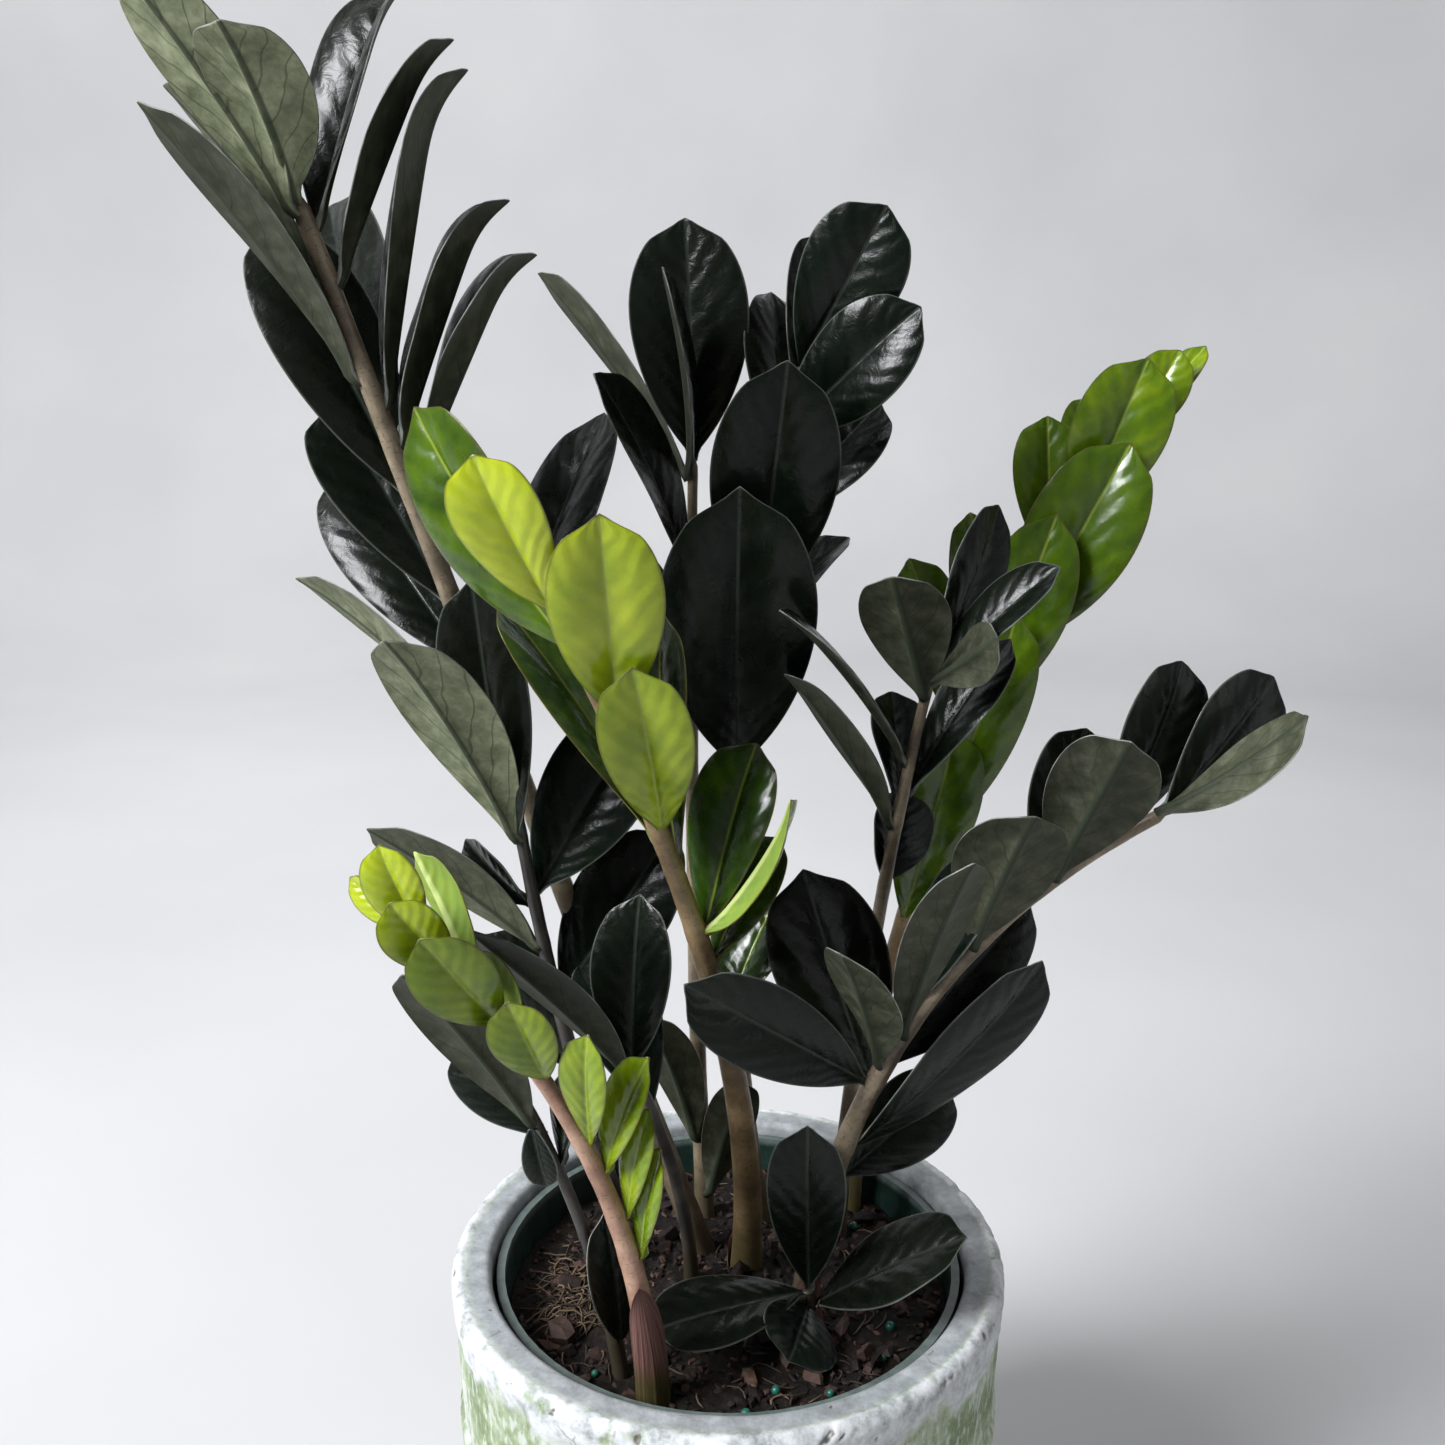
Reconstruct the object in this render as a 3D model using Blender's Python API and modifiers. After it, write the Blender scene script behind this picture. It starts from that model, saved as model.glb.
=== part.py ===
"""A ZZ plant in a nursery pot, standing inside a thick-walled ceramic cachepot.

Units are metres, +Z is up, and -Y is the front of the plant. The origin is the centre of the
cachepot's flat base. A frond is a round, tapering stem with leaflets along it. Each stem stands
in a socket in the soil, and each leaflet is a thin, folded and curved blade whose narrow foot
is close to the stem's side.
"""

import math

import bmesh
import bpy
from mathutils import Matrix, Vector

# ---- Driving dimensions -----------------------------------------------------------------

MM = 0.001
GAP = 0.3 * MM  # kept between pieces that touch

POT_HEIGHT = 160 * MM
POT_RADIUS = 88.5 * MM  # outside, at the rim
POT_FOOT_RADIUS = 84 * MM
POT_WALL = 12 * MM
POT_FLOOR = 12 * MM
POT_RIM_OUTER_ROUND = 3.5 * MM
POT_RIM_INNER_ROUND = 2.5 * MM
POT_FOOT_ROUND = 3 * MM

LINER_CLEARANCE = 1.5 * MM  # from the nursery pot's lip to the cachepot's wall
LINER_DROP = 4 * MM  # the lip's top, below the cachepot's rim
LINER_WALL = 1.2 * MM
LINER_LIP_WIDTH = 2.6 * MM
LINER_LIP_HEIGHT = 6 * MM
LINER_TAPER = 12 * MM  # how much narrower the nursery pot is at its floor
DRAIN_HOLES = 8
DRAIN_HOLE_RADIUS = 5 * MM
DRAIN_HOLE_EDGE = 8 * MM  # from a hole's rim to the nursery pot's wall

SOIL_DROP = 13 * MM  # the soil's edge, below the nursery pot's lip
SOIL_DOME = 1.5 * MM  # how much higher the soil is in the middle
SOCKET_DEPTH = 14 * MM
SOCKET_FLOOR_GAP = 1 * MM  # left under a stem's buried end
SOCKET_CLEARANCE = 0.1 * MM  # past GAP, because a socket has flat sides

LEAFLET_THICKNESS = 1.3 * MM
STANDOFF_SHARE = 3 / 13  # of a leaflet's thickness, left between its foot and the stem
LEAFLET_FOLD = math.radians(14)  # how far each half of a blade is raised from flat
LEAFLET_CURL = math.radians(16)  # how far the midrib bends back from foot to tip
LEAFLET_STATIONS = 10
FOOT_POWER = 1.0  # a larger power narrows the blade's foot
TIP_POWER = 0.75  # a larger power narrows the blade's tip
SHALLOW = 0.25  # a leaflet closer than this to the stem's direction starts on the face side

SHEATH_HEIGHT = 44 * MM
SHEATH_THICKNESS = 0.9 * MM
SHEATH_WRAP = 105  # degrees to each side of its middle, at the soil
SHEATH_TIP_SHARE = 0.93  # how much of the wrap is gone at the tip
SHEATH_CLEARANCE = 0.5 * MM
SHEATH_STATIONS = 8
SHEATH_COLUMNS = 7

ROUND_STEPS = 64  # segments round the pots
ARC_STEPS = 4  # segments in a rounded edge
STEM_POINTS = 10

# A stem rises from `base` (x, y on the soil) to `tip` (x, y, height over the soil), and `bow`
# is how far its middle lies from the straight line. `radii` are at the soil and at the tip. All
# of these are millimetres. A leaflet is (place along the stem from 0 to 1, length, width, lean,
# reach, turn). Lean is degrees to the right of upright as seen from the front, reach is degrees
# out towards the front, and turn is how far the glossy face is rotated round the midrib from
# facing the front. The numbers count the leaflets of the whole frond.
FRONDS = {
    "tall_left": {
        "base": (-8, 18), "tip": (-106, -40, 336), "bow": (0, 0, 0), "radii": (4.2, 2.2), "age": "mature",
        "leaflets": {
            1: (1, 45, 27, -7, 42, 164),
            4: (0.87, 79, 32, -32, 12, 119),
            5: (0.78, 81, 30, -27, -10, 15),
            6: (0.69, 66, 30, -31, -15, 23),
            8: (0.98, 61, 33, 19, -10, -44),
            9: (0.94, 65, 30, 24, -5, -76),
            10: (0.85, 85, 29, 12, 0, -72),
            11: (0.82, 68, 34, 21, -5, -78),
            12: (0.79, 67, 34, 25, -5, -80),
        },
    },
    "back_centre": {
        "base": (-8, 37), "tip": (-11, 40, 268), "bow": (-2, 0, 0), "radii": (3.2, 1.5), "age": "mature",
        "leaflets": {
            1: (1, 70, 37, 0, 0, 0),
            3: (0.98, 78, 26, -36, -12, 107),
            4: (0.86, 75, 30, -19, 24, 68),
        },
    },
    "centre": {
        "base": (12, 37), "tip": (21, 25, 295), "bow": (-14, 0, 0), "radii": (3.6, 1.6), "age": "mature",
        "leaflets": {
            1: (1, 51, 31, 29, 18, -7),
            2: (0.94, 53, 30, 44, 24, -21),
            4: (0.91, 55, 28, 0, -24, 32),
            5: (0.76, 78, 38, 7, 22, 0),
            6: (0.58, 96, 48, -1, 20, 0),
        },
    },
    "lime_centre": {
        "base": (6, 10), "tip": (-43, -66, 237), "bow": (15, 2, -3), "radii": (5.0, 1.8), "age": "young",
        "leaflets": {
            1: (0.96, 72, 32, -36, -12, -31),
            2: (1, 43, 24, -23, 18, -18),
            3: (0.88, 59, 29, -2, 24, 0),
            4: (0.75, 54, 25, -5, 25, 8),
            5: (0.69, 70, 28, -5, -5, -49),
        },
    },
    "lime_front": {
        "base": (-22, -53), "tip": (-81, -75, 158), "bow": (14, 2, 6), "radii": (3.8, 1.4), "age": "young",
        "leaflets": {
            4: (0.8, 37, 21, -27, 25, 14),
            5: (0.68, 30, 18, -16, 22, -2),
            7: (0.48, 39, 16, 17, 10, -49),
            8: (0.38, 38, 13, 9, 10, -49),
        },
    },
    "lime_right": {
        "base": (44, 46), "tip": (128, 55, 271), "bow": (-18, 0, 0), "radii": (4.0, 1.4), "age": "young",
        "leaflets": {
            3: (0.9, 57, 31, 17, 12, -1),
            4: (0.76, 74, 36, 24, 12, -10),
            10: (0.51, 87, 28, 15, 14, 3),
        },
    },
    "right_inner": {
        "base": (38, 28), "tip": (60, 0, 210), "bow": (-4, 0, 0), "radii": (3.2, 1.5), "age": "mature",
        "leaflets": {
            1: (0.96, 47, 26, -17, 30, 166),
            2: (1, 52, 24, 27, -18, 34),
            7: (0.86, 64, 24, -36, 16, 95),
        },
    },
    "right_outer": {
        "base": (24, -9), "tip": (119, -38, 177), "bow": (-18, 0, 18), "radii": (3.8, 1.8), "age": "mature",
        "leaflets": {
            1: (1, 47, 21, 43, 26, 104),
            4: (0.83, 55, 29, 14, 30, 173),
            5: (0.67, 55, 30, 11, 28, 175),
            10: (0.28, 85, 27, 39, 10, 27),
            12: (0.39, 73, 27, -49, 22, 15),
            13: (0.4, 69, 35, -18, 4, -3),
        },
    },
    "left_inner": {
        "base": (-30, 14), "tip": (-61, -27, 184), "bow": (-4, 0, 0), "radii": (3.0, 1.6), "age": "mature",
        "leaflets": {
            1: (0.9, 75, 31, -21, 22, 159),
        },
    },
    "front_inner": {
        "base": (-12, 2), "tip": (-28, -32, 97), "bow": (4, 0, 0), "radii": (2.4, 1.5), "age": "mature",
        "leaflets": {
            1: (1, 51, 26, 1, -8, -17),
            2: (0.98, 73, 28, -36, 18, 141),
        },
    },
    "low_left": {
        "base": (-32, -43), "tip": (-58, -48, 97), "bow": (4, 0, 0), "radii": (2.4, 1.4), "age": "mature",
        "leaflets": {
            1: (0.93, 66, 25, -27, 18, 162),
        },
    },
    "low_front": {
        "base": (27, -20), "tip": (25, -22, 16), "bow": (0, 0, 0), "radii": (2.4, 1.8), "age": "mature",
        "leaflets": {
            2: (0.68, 57, 30, 50, 18, -80),
            3: (0.98, 51, 26, -85, 25, 79),
        },
    },
}

# The scale that wrapped the young shoot still stands round the foot of this stem. Its middle is
# turned this far round the stem, in degrees from the front towards the right.
SHEATHED_STEM = "lime_front"
SHEATH_TURN = -30

# ---- Sizes that follow ------------------------------------------------------------------

LIP_RADIUS = POT_RADIUS - POT_WALL - LINER_CLEARANCE
LIP_TOP = POT_HEIGHT - LINER_DROP
LINER_BASE = POT_FLOOR + GAP
LINER_TOP_RADIUS = LIP_RADIUS - LINER_LIP_WIDTH + LINER_WALL
LINER_FLOOR_RADIUS = LINER_TOP_RADIUS - LINER_TAPER
SOIL_BASE = LINER_BASE + LINER_WALL + GAP
SOIL_TOP = LIP_TOP - SOIL_DROP

# ---- Scene, collections and materials ---------------------------------------------------


def clear_scene():
    for obj in list(bpy.data.objects):
        bpy.data.objects.remove(obj, do_unlink=True)


def new_collection(name, hidden=False):
    collection = bpy.data.collections.new(name)
    collection.hide_render = hidden
    bpy.context.scene.collection.children.link(collection)
    return collection


def new_material(name, colour, roughness):
    material = bpy.data.materials.new(name)
    material.use_nodes = True
    shader = material.node_tree.nodes["Principled BSDF"]
    shader.inputs["Base Color"].default_value = (*colour, 1)
    shader.inputs["Roughness"].default_value = roughness
    shader.inputs["Metallic"].default_value = 0
    material.diffuse_color = (*colour, 1)
    return material


def add_object(name, data, material, collection):
    obj = bpy.data.objects.new(name, data)
    if material:
        data.materials.append(material)
    collection.objects.link(obj)
    return obj


def smooth(mesh, sharp_degrees=40):
    mesh.shade_smooth()
    mesh.set_sharp_from_angle(angle=math.radians(sharp_degrees))


# ---- Turned pieces ----------------------------------------------------------------------


def arc(centre, radius, start, end):
    """Points of an arc in the XZ plane, with its angles in degrees from +X towards +Z."""
    points = []
    for step in range(ARC_STEPS + 1):
        angle = math.radians(start + (end - start) * step / ARC_STEPS)
        points.append((centre[0] + radius * math.cos(angle), centre[1] + radius * math.sin(angle)))
    return points


def turned(name, profile, material, collection):
    """A solid of revolution about Z from (radius, height) points, down the outside first."""
    mesh = bpy.data.meshes.new(name)
    vertices = [(x, 0, z) for x, z in profile]
    edges = [(i, i + 1) for i in range(len(vertices) - 1)]
    mesh.from_pydata(vertices, edges, [])
    obj = add_object(name, mesh, material, collection)
    screw = obj.modifiers.new("Turn", "SCREW")
    screw.axis = "Z"
    screw.steps = ROUND_STEPS
    screw.render_steps = ROUND_STEPS
    screw.use_merge_vertices = True
    screw.merge_threshold = 0.1 * GAP
    screw.use_smooth_shade = True
    return obj


def cut(obj, cutter):
    boolean = obj.modifiers.new("Cut " + cutter.name, "BOOLEAN")
    boolean.operation = "DIFFERENCE"
    boolean.solver = "EXACT"
    boolean.object = cutter


def as_cutter(obj):
    obj.hide_render = True
    obj.display_type = "WIRE"
    return obj


def build_cachepot(material, collection):
    inner = POT_RADIUS - POT_WALL
    rim_inside = (inner + POT_RIM_INNER_ROUND, POT_HEIGHT - POT_RIM_INNER_ROUND)
    rim_outside = (POT_RADIUS - POT_RIM_OUTER_ROUND, POT_HEIGHT - POT_RIM_OUTER_ROUND)
    foot = (POT_FOOT_RADIUS - POT_FOOT_ROUND, POT_FOOT_ROUND)
    profile = [(0, POT_FLOOR), (inner, POT_FLOOR)]
    profile += arc(rim_inside, POT_RIM_INNER_ROUND, 180, 90)
    profile += arc(rim_outside, POT_RIM_OUTER_ROUND, 90, 0)
    profile += arc(foot, POT_FOOT_ROUND, 0, -90)
    profile += [(0, 0)]
    return turned("cachepot", profile, material, collection)


def liner_radius(height):
    """The outer radius of the nursery pot's wall at this height."""
    share = (height - LINER_BASE) / (LIP_TOP - LINER_BASE)
    return LINER_FLOOR_RADIUS + LINER_TAPER * share


def build_nursery_pot(material, collection, cutters):
    floor = LINER_BASE + LINER_WALL
    lip_base = LIP_TOP - LINER_LIP_HEIGHT
    profile = [
        (0, floor),
        (liner_radius(floor) - LINER_WALL, floor),
        (liner_radius(LIP_TOP) - LINER_WALL, LIP_TOP),
        (LIP_RADIUS, LIP_TOP),
        (LIP_RADIUS, lip_base),
        (liner_radius(lip_base), lip_base),
        (liner_radius(LINER_BASE), LINER_BASE),
        (0, LINER_BASE),
    ]
    pot = turned("nursery_pot", profile, material, collection)
    circle = LINER_FLOOR_RADIUS - LINER_WALL - DRAIN_HOLE_EDGE - DRAIN_HOLE_RADIUS
    holes = bmesh.new()
    for hole in range(DRAIN_HOLES):
        angle = 2 * math.pi * hole / DRAIN_HOLES
        centre = Vector((circle * math.cos(angle), circle * math.sin(angle), LINER_BASE))
        bmesh.ops.create_cone(
            holes, cap_ends=True, segments=16, radius1=DRAIN_HOLE_RADIUS, radius2=DRAIN_HOLE_RADIUS,
            depth=4 * LINER_WALL, matrix=Matrix.Translation(centre),
        )
    mesh = bpy.data.meshes.new("drain_hole_cutter")
    holes.to_mesh(mesh)
    holes.free()
    cut(pot, as_cutter(add_object("drain_hole_cutter", mesh, None, cutters)))
    return pot


def build_soil(material, collection, stems, cutters):
    edge = liner_radius(SOIL_TOP) - LINER_WALL - GAP
    profile = []
    for step in range(ARC_STEPS + 1):
        share = step / ARC_STEPS
        profile.append((edge * share, SOIL_TOP + SOIL_DOME * (1 - share ** 2)))
    profile.append((liner_radius(SOIL_BASE) - LINER_WALL - GAP, SOIL_BASE))
    profile.append((0, SOIL_BASE))
    soil = turned("soil", profile, material, collection)
    for name, stem in stems.items():
        cut(soil, build_socket_cutter(name, stem, cutters))
    return soil


# ---- Stems ------------------------------------------------------------------------------


class Stem:
    """The curved axis of a frond: a quadratic curve from the soil to the tip."""

    def __init__(self, frond):
        self.foot = Vector((frond["base"][0] * MM, frond["base"][1] * MM, SOIL_TOP))
        self.tip = Vector((frond["tip"][0] * MM, frond["tip"][1] * MM, SOIL_TOP + frond["tip"][2] * MM))
        self.pull = (self.foot + self.tip) / 2 + 2 * MM * Vector(frond["bow"])
        self.foot_radius = frond["radii"][0] * MM
        self.tip_radius = frond["radii"][1] * MM

    def point(self, at):
        return (1 - at) ** 2 * self.foot + 2 * at * (1 - at) * self.pull + at ** 2 * self.tip

    def direction(self, at):
        return ((1 - at) * (self.pull - self.foot) + at * (self.tip - self.pull)).normalized()

    def radius(self, at):
        return self.foot_radius + (self.tip_radius - self.foot_radius) * at

    def buried_end(self):
        return self.foot - SOCKET_DEPTH * self.direction(0)


def build_stem(name, stem, material, collection):
    """A tapering tube from the bottom of its socket to the frond's tip."""
    places = [step / (STEM_POINTS - 2) for step in range(STEM_POINTS - 1)]
    points = [stem.buried_end()] + [stem.point(at) for at in places]
    radii = [stem.foot_radius] + [stem.radius(at) for at in places]
    curve = bpy.data.curves.new("stem_" + name, "CURVE")
    curve.dimensions = "3D"
    curve.bevel_depth = MM
    curve.bevel_resolution = 2
    curve.use_fill_caps = True
    spline = curve.splines.new("POLY")
    spline.points.add(len(points) - 1)
    for spot, point, radius in zip(spline.points, points, radii):
        spot.co = (*(point - stem.foot), 1)
        spot.radius = radius / MM
    spline.use_smooth = True
    obj = add_object("stem_" + name, curve, material, collection)
    obj.location = stem.foot
    return obj


def build_socket_cutter(name, stem, cutters):
    """A straight hole round the buried end of the stem, open at the soil's surface."""
    radius = stem.foot_radius + GAP + SOCKET_CLEARANCE
    depth = 2 * (SOCKET_DEPTH + SOCKET_FLOOR_GAP)
    hole = bmesh.new()
    bmesh.ops.create_cone(hole, cap_ends=True, segments=16, radius1=radius, radius2=radius, depth=depth)
    mesh = bpy.data.meshes.new("socket_cutter_" + name)
    hole.to_mesh(mesh)
    hole.free()
    cutter = add_object("socket_cutter_" + name, mesh, None, cutters)
    cutter.location = stem.foot
    cutter.rotation_euler = stem.direction(0).to_track_quat("Z", "Y").to_euler()
    return as_cutter(cutter)


def build_sheath(stem, material, collection):
    """A pointed scale that wraps the foot of a stem: an open surface made solid."""
    rise = (stem.tip - stem.foot).z
    skin = bmesh.new()
    rows = []
    for station in range(SHEATH_STATIONS):
        share = station / (SHEATH_STATIONS - 1)
        height = GAP + SOIL_DOME + (SHEATH_HEIGHT - SOIL_DOME) * share
        at = height / rise
        wrap = math.radians(SHEATH_WRAP) * (1 - SHEATH_TIP_SHARE * share ** 2)
        radius = stem.radius(at) + SHEATH_CLEARANCE
        along = stem.direction(at)
        side = along.cross(Vector((0, -1, 0))).normalized()
        front = side.cross(along)
        row = []
        for column in range(SHEATH_COLUMNS):
            spread = wrap * (2 * column / (SHEATH_COLUMNS - 1) - 1)
            angle = spread - math.radians(SHEATH_TURN)
            outward = math.cos(angle) * front + math.sin(angle) * side
            row.append(skin.verts.new(stem.point(at) + radius * outward))
        rows.append(row)
    for low, high in zip(rows, rows[1:]):
        for left in range(SHEATH_COLUMNS - 1):
            skin.faces.new((low[left], low[left + 1], high[left + 1], high[left]))
    bmesh.ops.recalc_face_normals(skin, faces=skin.faces)
    mesh = bpy.data.meshes.new("sheath_" + SHEATHED_STEM)
    skin.to_mesh(mesh)
    skin.free()
    mesh.shade_smooth()
    obj = add_object("sheath_" + SHEATHED_STEM, mesh, material, collection)
    solid = obj.modifiers.new("Thickness", "SOLIDIFY")
    solid.thickness = SHEATH_THICKNESS
    solid.offset = 1
    return obj


# ---- Leaflets ---------------------------------------------------------------------------


def blade_share(along):
    """The blade's width here as a share of its greatest width: a wedge foot and a short tip."""
    widest = FOOT_POWER / (FOOT_POWER + TIP_POWER)
    peak = widest ** FOOT_POWER * (1 - widest) ** TIP_POWER
    return along ** FOOT_POWER * (1 - along) ** TIP_POWER / peak


def midrib(length, along):
    """The place and the upward normal of the midrib, in the blade's own YZ plane."""
    lifted = 0.4 * LEAFLET_CURL
    angle = LEAFLET_CURL * along
    reach = length / LEAFLET_CURL
    place = Vector((0, reach * math.sin(angle), -reach * (1 - math.cos(angle))))
    normal = Vector((0, math.sin(angle), math.cos(angle)))
    tilt = Matrix.Rotation(lifted, 3, "X")
    return tilt @ place, tilt @ normal


def leaflet_mesh(name, length, width):
    """A blade from its foot at the origin along +Y, glossy side up, lofted along the midrib."""
    blade = bmesh.new()
    foot = blade.verts.new(midrib(length, 0)[0])
    tip = blade.verts.new(midrib(length, 1)[0])
    rings = []
    for station in range(1, LEAFLET_STATIONS):
        along = station / LEAFLET_STATIONS
        centre, normal = midrib(length, along)
        half = width / 2 * blade_share(along)
        out = Vector((half * math.cos(LEAFLET_FOLD), 0, 0))
        raised = half * math.sin(LEAFLET_FOLD) * normal
        thick = LEAFLET_THICKNESS / 2 * normal
        corners = (centre + out + raised, centre + thick, centre - out + raised, centre - thick)
        rings.append([blade.verts.new(corner) for corner in corners])
    for side in range(4):
        after = (side + 1) % 4
        blade.faces.new((foot, rings[0][side], rings[0][after]))
        blade.faces.new((tip, rings[-1][after], rings[-1][side]))
        for low, high in zip(rings, rings[1:]):
            blade.faces.new((low[side], high[side], high[after], low[after]))
    bmesh.ops.recalc_face_normals(blade, faces=blade.faces)
    mesh = bpy.data.meshes.new(name)
    blade.to_mesh(mesh)
    blade.free()
    smooth(mesh)
    return mesh


def blade_axes(lean, reach, turn):
    """The blade's own X, Y and Z axes from the three angles of a leaflet, in degrees."""
    lean, reach, turn = (math.radians(angle) for angle in (lean, reach, turn))
    along = Vector((math.sin(lean) * math.cos(reach), -math.sin(reach), math.cos(lean) * math.cos(reach)))
    front = Vector((0, -1, 0))
    facing = (front - front.dot(along) * along).normalized()
    normal = math.cos(turn) * facing + math.sin(turn) * along.cross(facing)
    return along.cross(normal), along, normal


def leaflet_foot(stem, at, along, normal):
    """Where a leaflet starts: just off the stem's side, or just past its end."""
    point = stem.point(at)
    axis = stem.direction(at)
    standoff = STANDOFF_SHARE * LEAFLET_THICKNESS
    if at >= 1:
        return point + 2 * standoff * along
    outward = along - along.dot(axis) * axis
    if outward.length < SHALLOW:
        outward += SHALLOW * (normal - normal.dot(axis) * axis)
    return point + (stem.radius(at) + standoff) * outward.normalized()


def build_leaflet(name, stem, row, material, collection):
    at, length, width, lean, reach, turn = row
    axes = blade_axes(lean, reach, turn)
    obj = add_object(name, leaflet_mesh(name, length * MM, width * MM), material, collection)
    obj.location = leaflet_foot(stem, at, axes[1], axes[2])
    obj.rotation_euler = Matrix(axes).transposed().to_euler()
    return obj


# ---- The whole plant --------------------------------------------------------------------


def main():
    clear_scene()
    plant = new_collection("potted_zz_plant")
    cutters = new_collection("cutters", hidden=True)
    glaze = new_material("glazed_ceramic", (0.62, 0.64, 0.60), 0.6)
    plastic = new_material("green_plastic", (0.02, 0.05, 0.045), 0.45)
    peat = new_material("peat", (0.03, 0.022, 0.018), 0.95)
    bark = new_material("sheath_skin", (0.10, 0.045, 0.045), 0.6)
    stem_skins = {
        "mature": new_material("mature_stem", (0.20, 0.17, 0.13), 0.55),
        "young": new_material("young_stem", (0.33, 0.22, 0.15), 0.5),
    }
    leaf_skins = {
        "mature": new_material("mature_leaf", (0.012, 0.02, 0.018), 0.3),
        "young": new_material("young_leaf", (0.19, 0.35, 0.02), 0.35),
    }
    stems = {name: Stem(frond) for name, frond in FRONDS.items()}
    build_cachepot(glaze, plant)
    build_nursery_pot(plastic, plant, cutters)
    build_soil(peat, plant, stems, cutters)
    build_sheath(stems[SHEATHED_STEM], bark, plant)
    for name, frond in FRONDS.items():
        build_stem(name, stems[name], stem_skins[frond["age"]], plant)
        for number, row in frond["leaflets"].items():
            leaflet = f"leaflet_{name}_{number}"
            build_leaflet(leaflet, stems[name], row, leaf_skins[frond["age"]], plant)


main()
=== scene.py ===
# %% [markdown]
# # A potted ZZ plant
# This lesson builds the looks of a young ZZ plant with near-black leaflets: twelve fronds of
# fleshy, glossy leaflets in a plastic nursery pot, which stands in a thick ceramic cachepot.
# The solids for physics exist already.

# %% The fixed frame
import math
import random

import bpy
import numpy as np
from mathutils import Matrix, Vector, noise


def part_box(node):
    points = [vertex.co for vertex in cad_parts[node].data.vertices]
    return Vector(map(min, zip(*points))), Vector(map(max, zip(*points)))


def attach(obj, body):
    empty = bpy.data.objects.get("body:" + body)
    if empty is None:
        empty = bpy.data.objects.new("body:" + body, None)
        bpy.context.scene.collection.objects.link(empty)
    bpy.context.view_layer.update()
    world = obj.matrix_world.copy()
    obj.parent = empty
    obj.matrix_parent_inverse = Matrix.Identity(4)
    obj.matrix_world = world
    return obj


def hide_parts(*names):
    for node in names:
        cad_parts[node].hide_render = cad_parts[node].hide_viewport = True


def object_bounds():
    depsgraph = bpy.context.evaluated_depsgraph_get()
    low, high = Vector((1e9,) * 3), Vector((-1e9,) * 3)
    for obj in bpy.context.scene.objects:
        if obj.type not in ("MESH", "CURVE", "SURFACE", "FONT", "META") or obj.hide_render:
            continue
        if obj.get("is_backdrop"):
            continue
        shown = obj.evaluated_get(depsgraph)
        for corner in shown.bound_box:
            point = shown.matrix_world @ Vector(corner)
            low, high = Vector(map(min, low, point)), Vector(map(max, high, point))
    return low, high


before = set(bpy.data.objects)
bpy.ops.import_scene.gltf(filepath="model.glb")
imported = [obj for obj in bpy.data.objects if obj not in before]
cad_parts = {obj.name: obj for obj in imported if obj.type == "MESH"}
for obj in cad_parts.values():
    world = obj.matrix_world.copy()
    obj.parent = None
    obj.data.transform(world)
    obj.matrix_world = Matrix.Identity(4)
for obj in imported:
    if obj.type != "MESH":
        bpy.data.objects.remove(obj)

MM = 0.001
cad_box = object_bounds()

# %% [markdown]
# ## Two helpers for materials
# Paint charts and colour pickers give sRGB hex values, while a shader wants linear light, so one
# function turns one into the other. A second function adds any kind of shader node: it sets the
# node's own settings, then fills each input with a number, a colour or a link. The links make a
# material's text read like the chain of nodes that it is.

# %% Colours and nodes
def tint(code):
    """A linear RGBA colour from an sRGB hex value such as '#a0b030'."""
    parts = [int(code[i:i + 2], 16) / 255 for i in (1, 3, 5)]
    linear = [c / 12.92 if c <= 0.04045 else ((c + 0.055) / 1.055) ** 2.4 for c in parts]
    return (*linear, 1.0)


def socket_of(value):
    """The output to link from: the socket itself, or a node's first output in use."""
    if isinstance(value, bpy.types.NodeSocket):
        return value
    return next(output for output in value.outputs if output.enabled)


def node(tree, kind, settings=None, inputs=None, stops=None):
    """Adds a shader node, with its settings, its inputs by name or number, and a ramp's stops."""
    made = tree.nodes.new("ShaderNode" + kind)
    for name, value in (settings or {}).items():
        setattr(made, name, value)
    if stops:
        ramp = made.color_ramp.elements
        while len(ramp) < len(stops):
            ramp.new(1)
        for element, (position, code) in zip(ramp, stops):
            element.position = position
            element.color = tint(code)
    for name, value in (inputs or {}).items():
        if isinstance(name, int):
            socket = made.inputs[name]
        else:
            socket = next(s for s in made.inputs if s.name == name and s.enabled)
        if isinstance(value, (bpy.types.NodeSocket, bpy.types.Node)):
            tree.links.new(socket_of(value), socket)
        else:
            socket.default_value = value
    return made


def material(name, **constants):
    """An empty material with one Principled shader, whose constants are set on its sockets."""
    made = bpy.data.materials.new(name)
    made.use_nodes = True
    shader = made.node_tree.nodes["Principled BSDF"]
    for socket, value in constants.items():
        shader.inputs[socket.replace("_", " ")].default_value = value
    return made, made.node_tree, shader


def per_mm(size):
    """The scale of a pattern whose spots are this many millimetres across, in object space."""
    return 1 / (size * MM)


# %% [markdown]
# ## Camera
# A portrait of a plant is usually taken from a little above the rim of its pot, so that the eye
# looks into the leaves and still sees the mix. A 35 mm lens on a 36 mm sensor gives the mild
# perspective of a phone held half a metre away, and the camera tilts down to put the pot's rim
# near the lower edge.

# %% The camera
CAMERA_PLACE = (-0.0018, -0.404, 0.438)
CAMERA_TILT_DOWN = math.radians(14.2)

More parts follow.
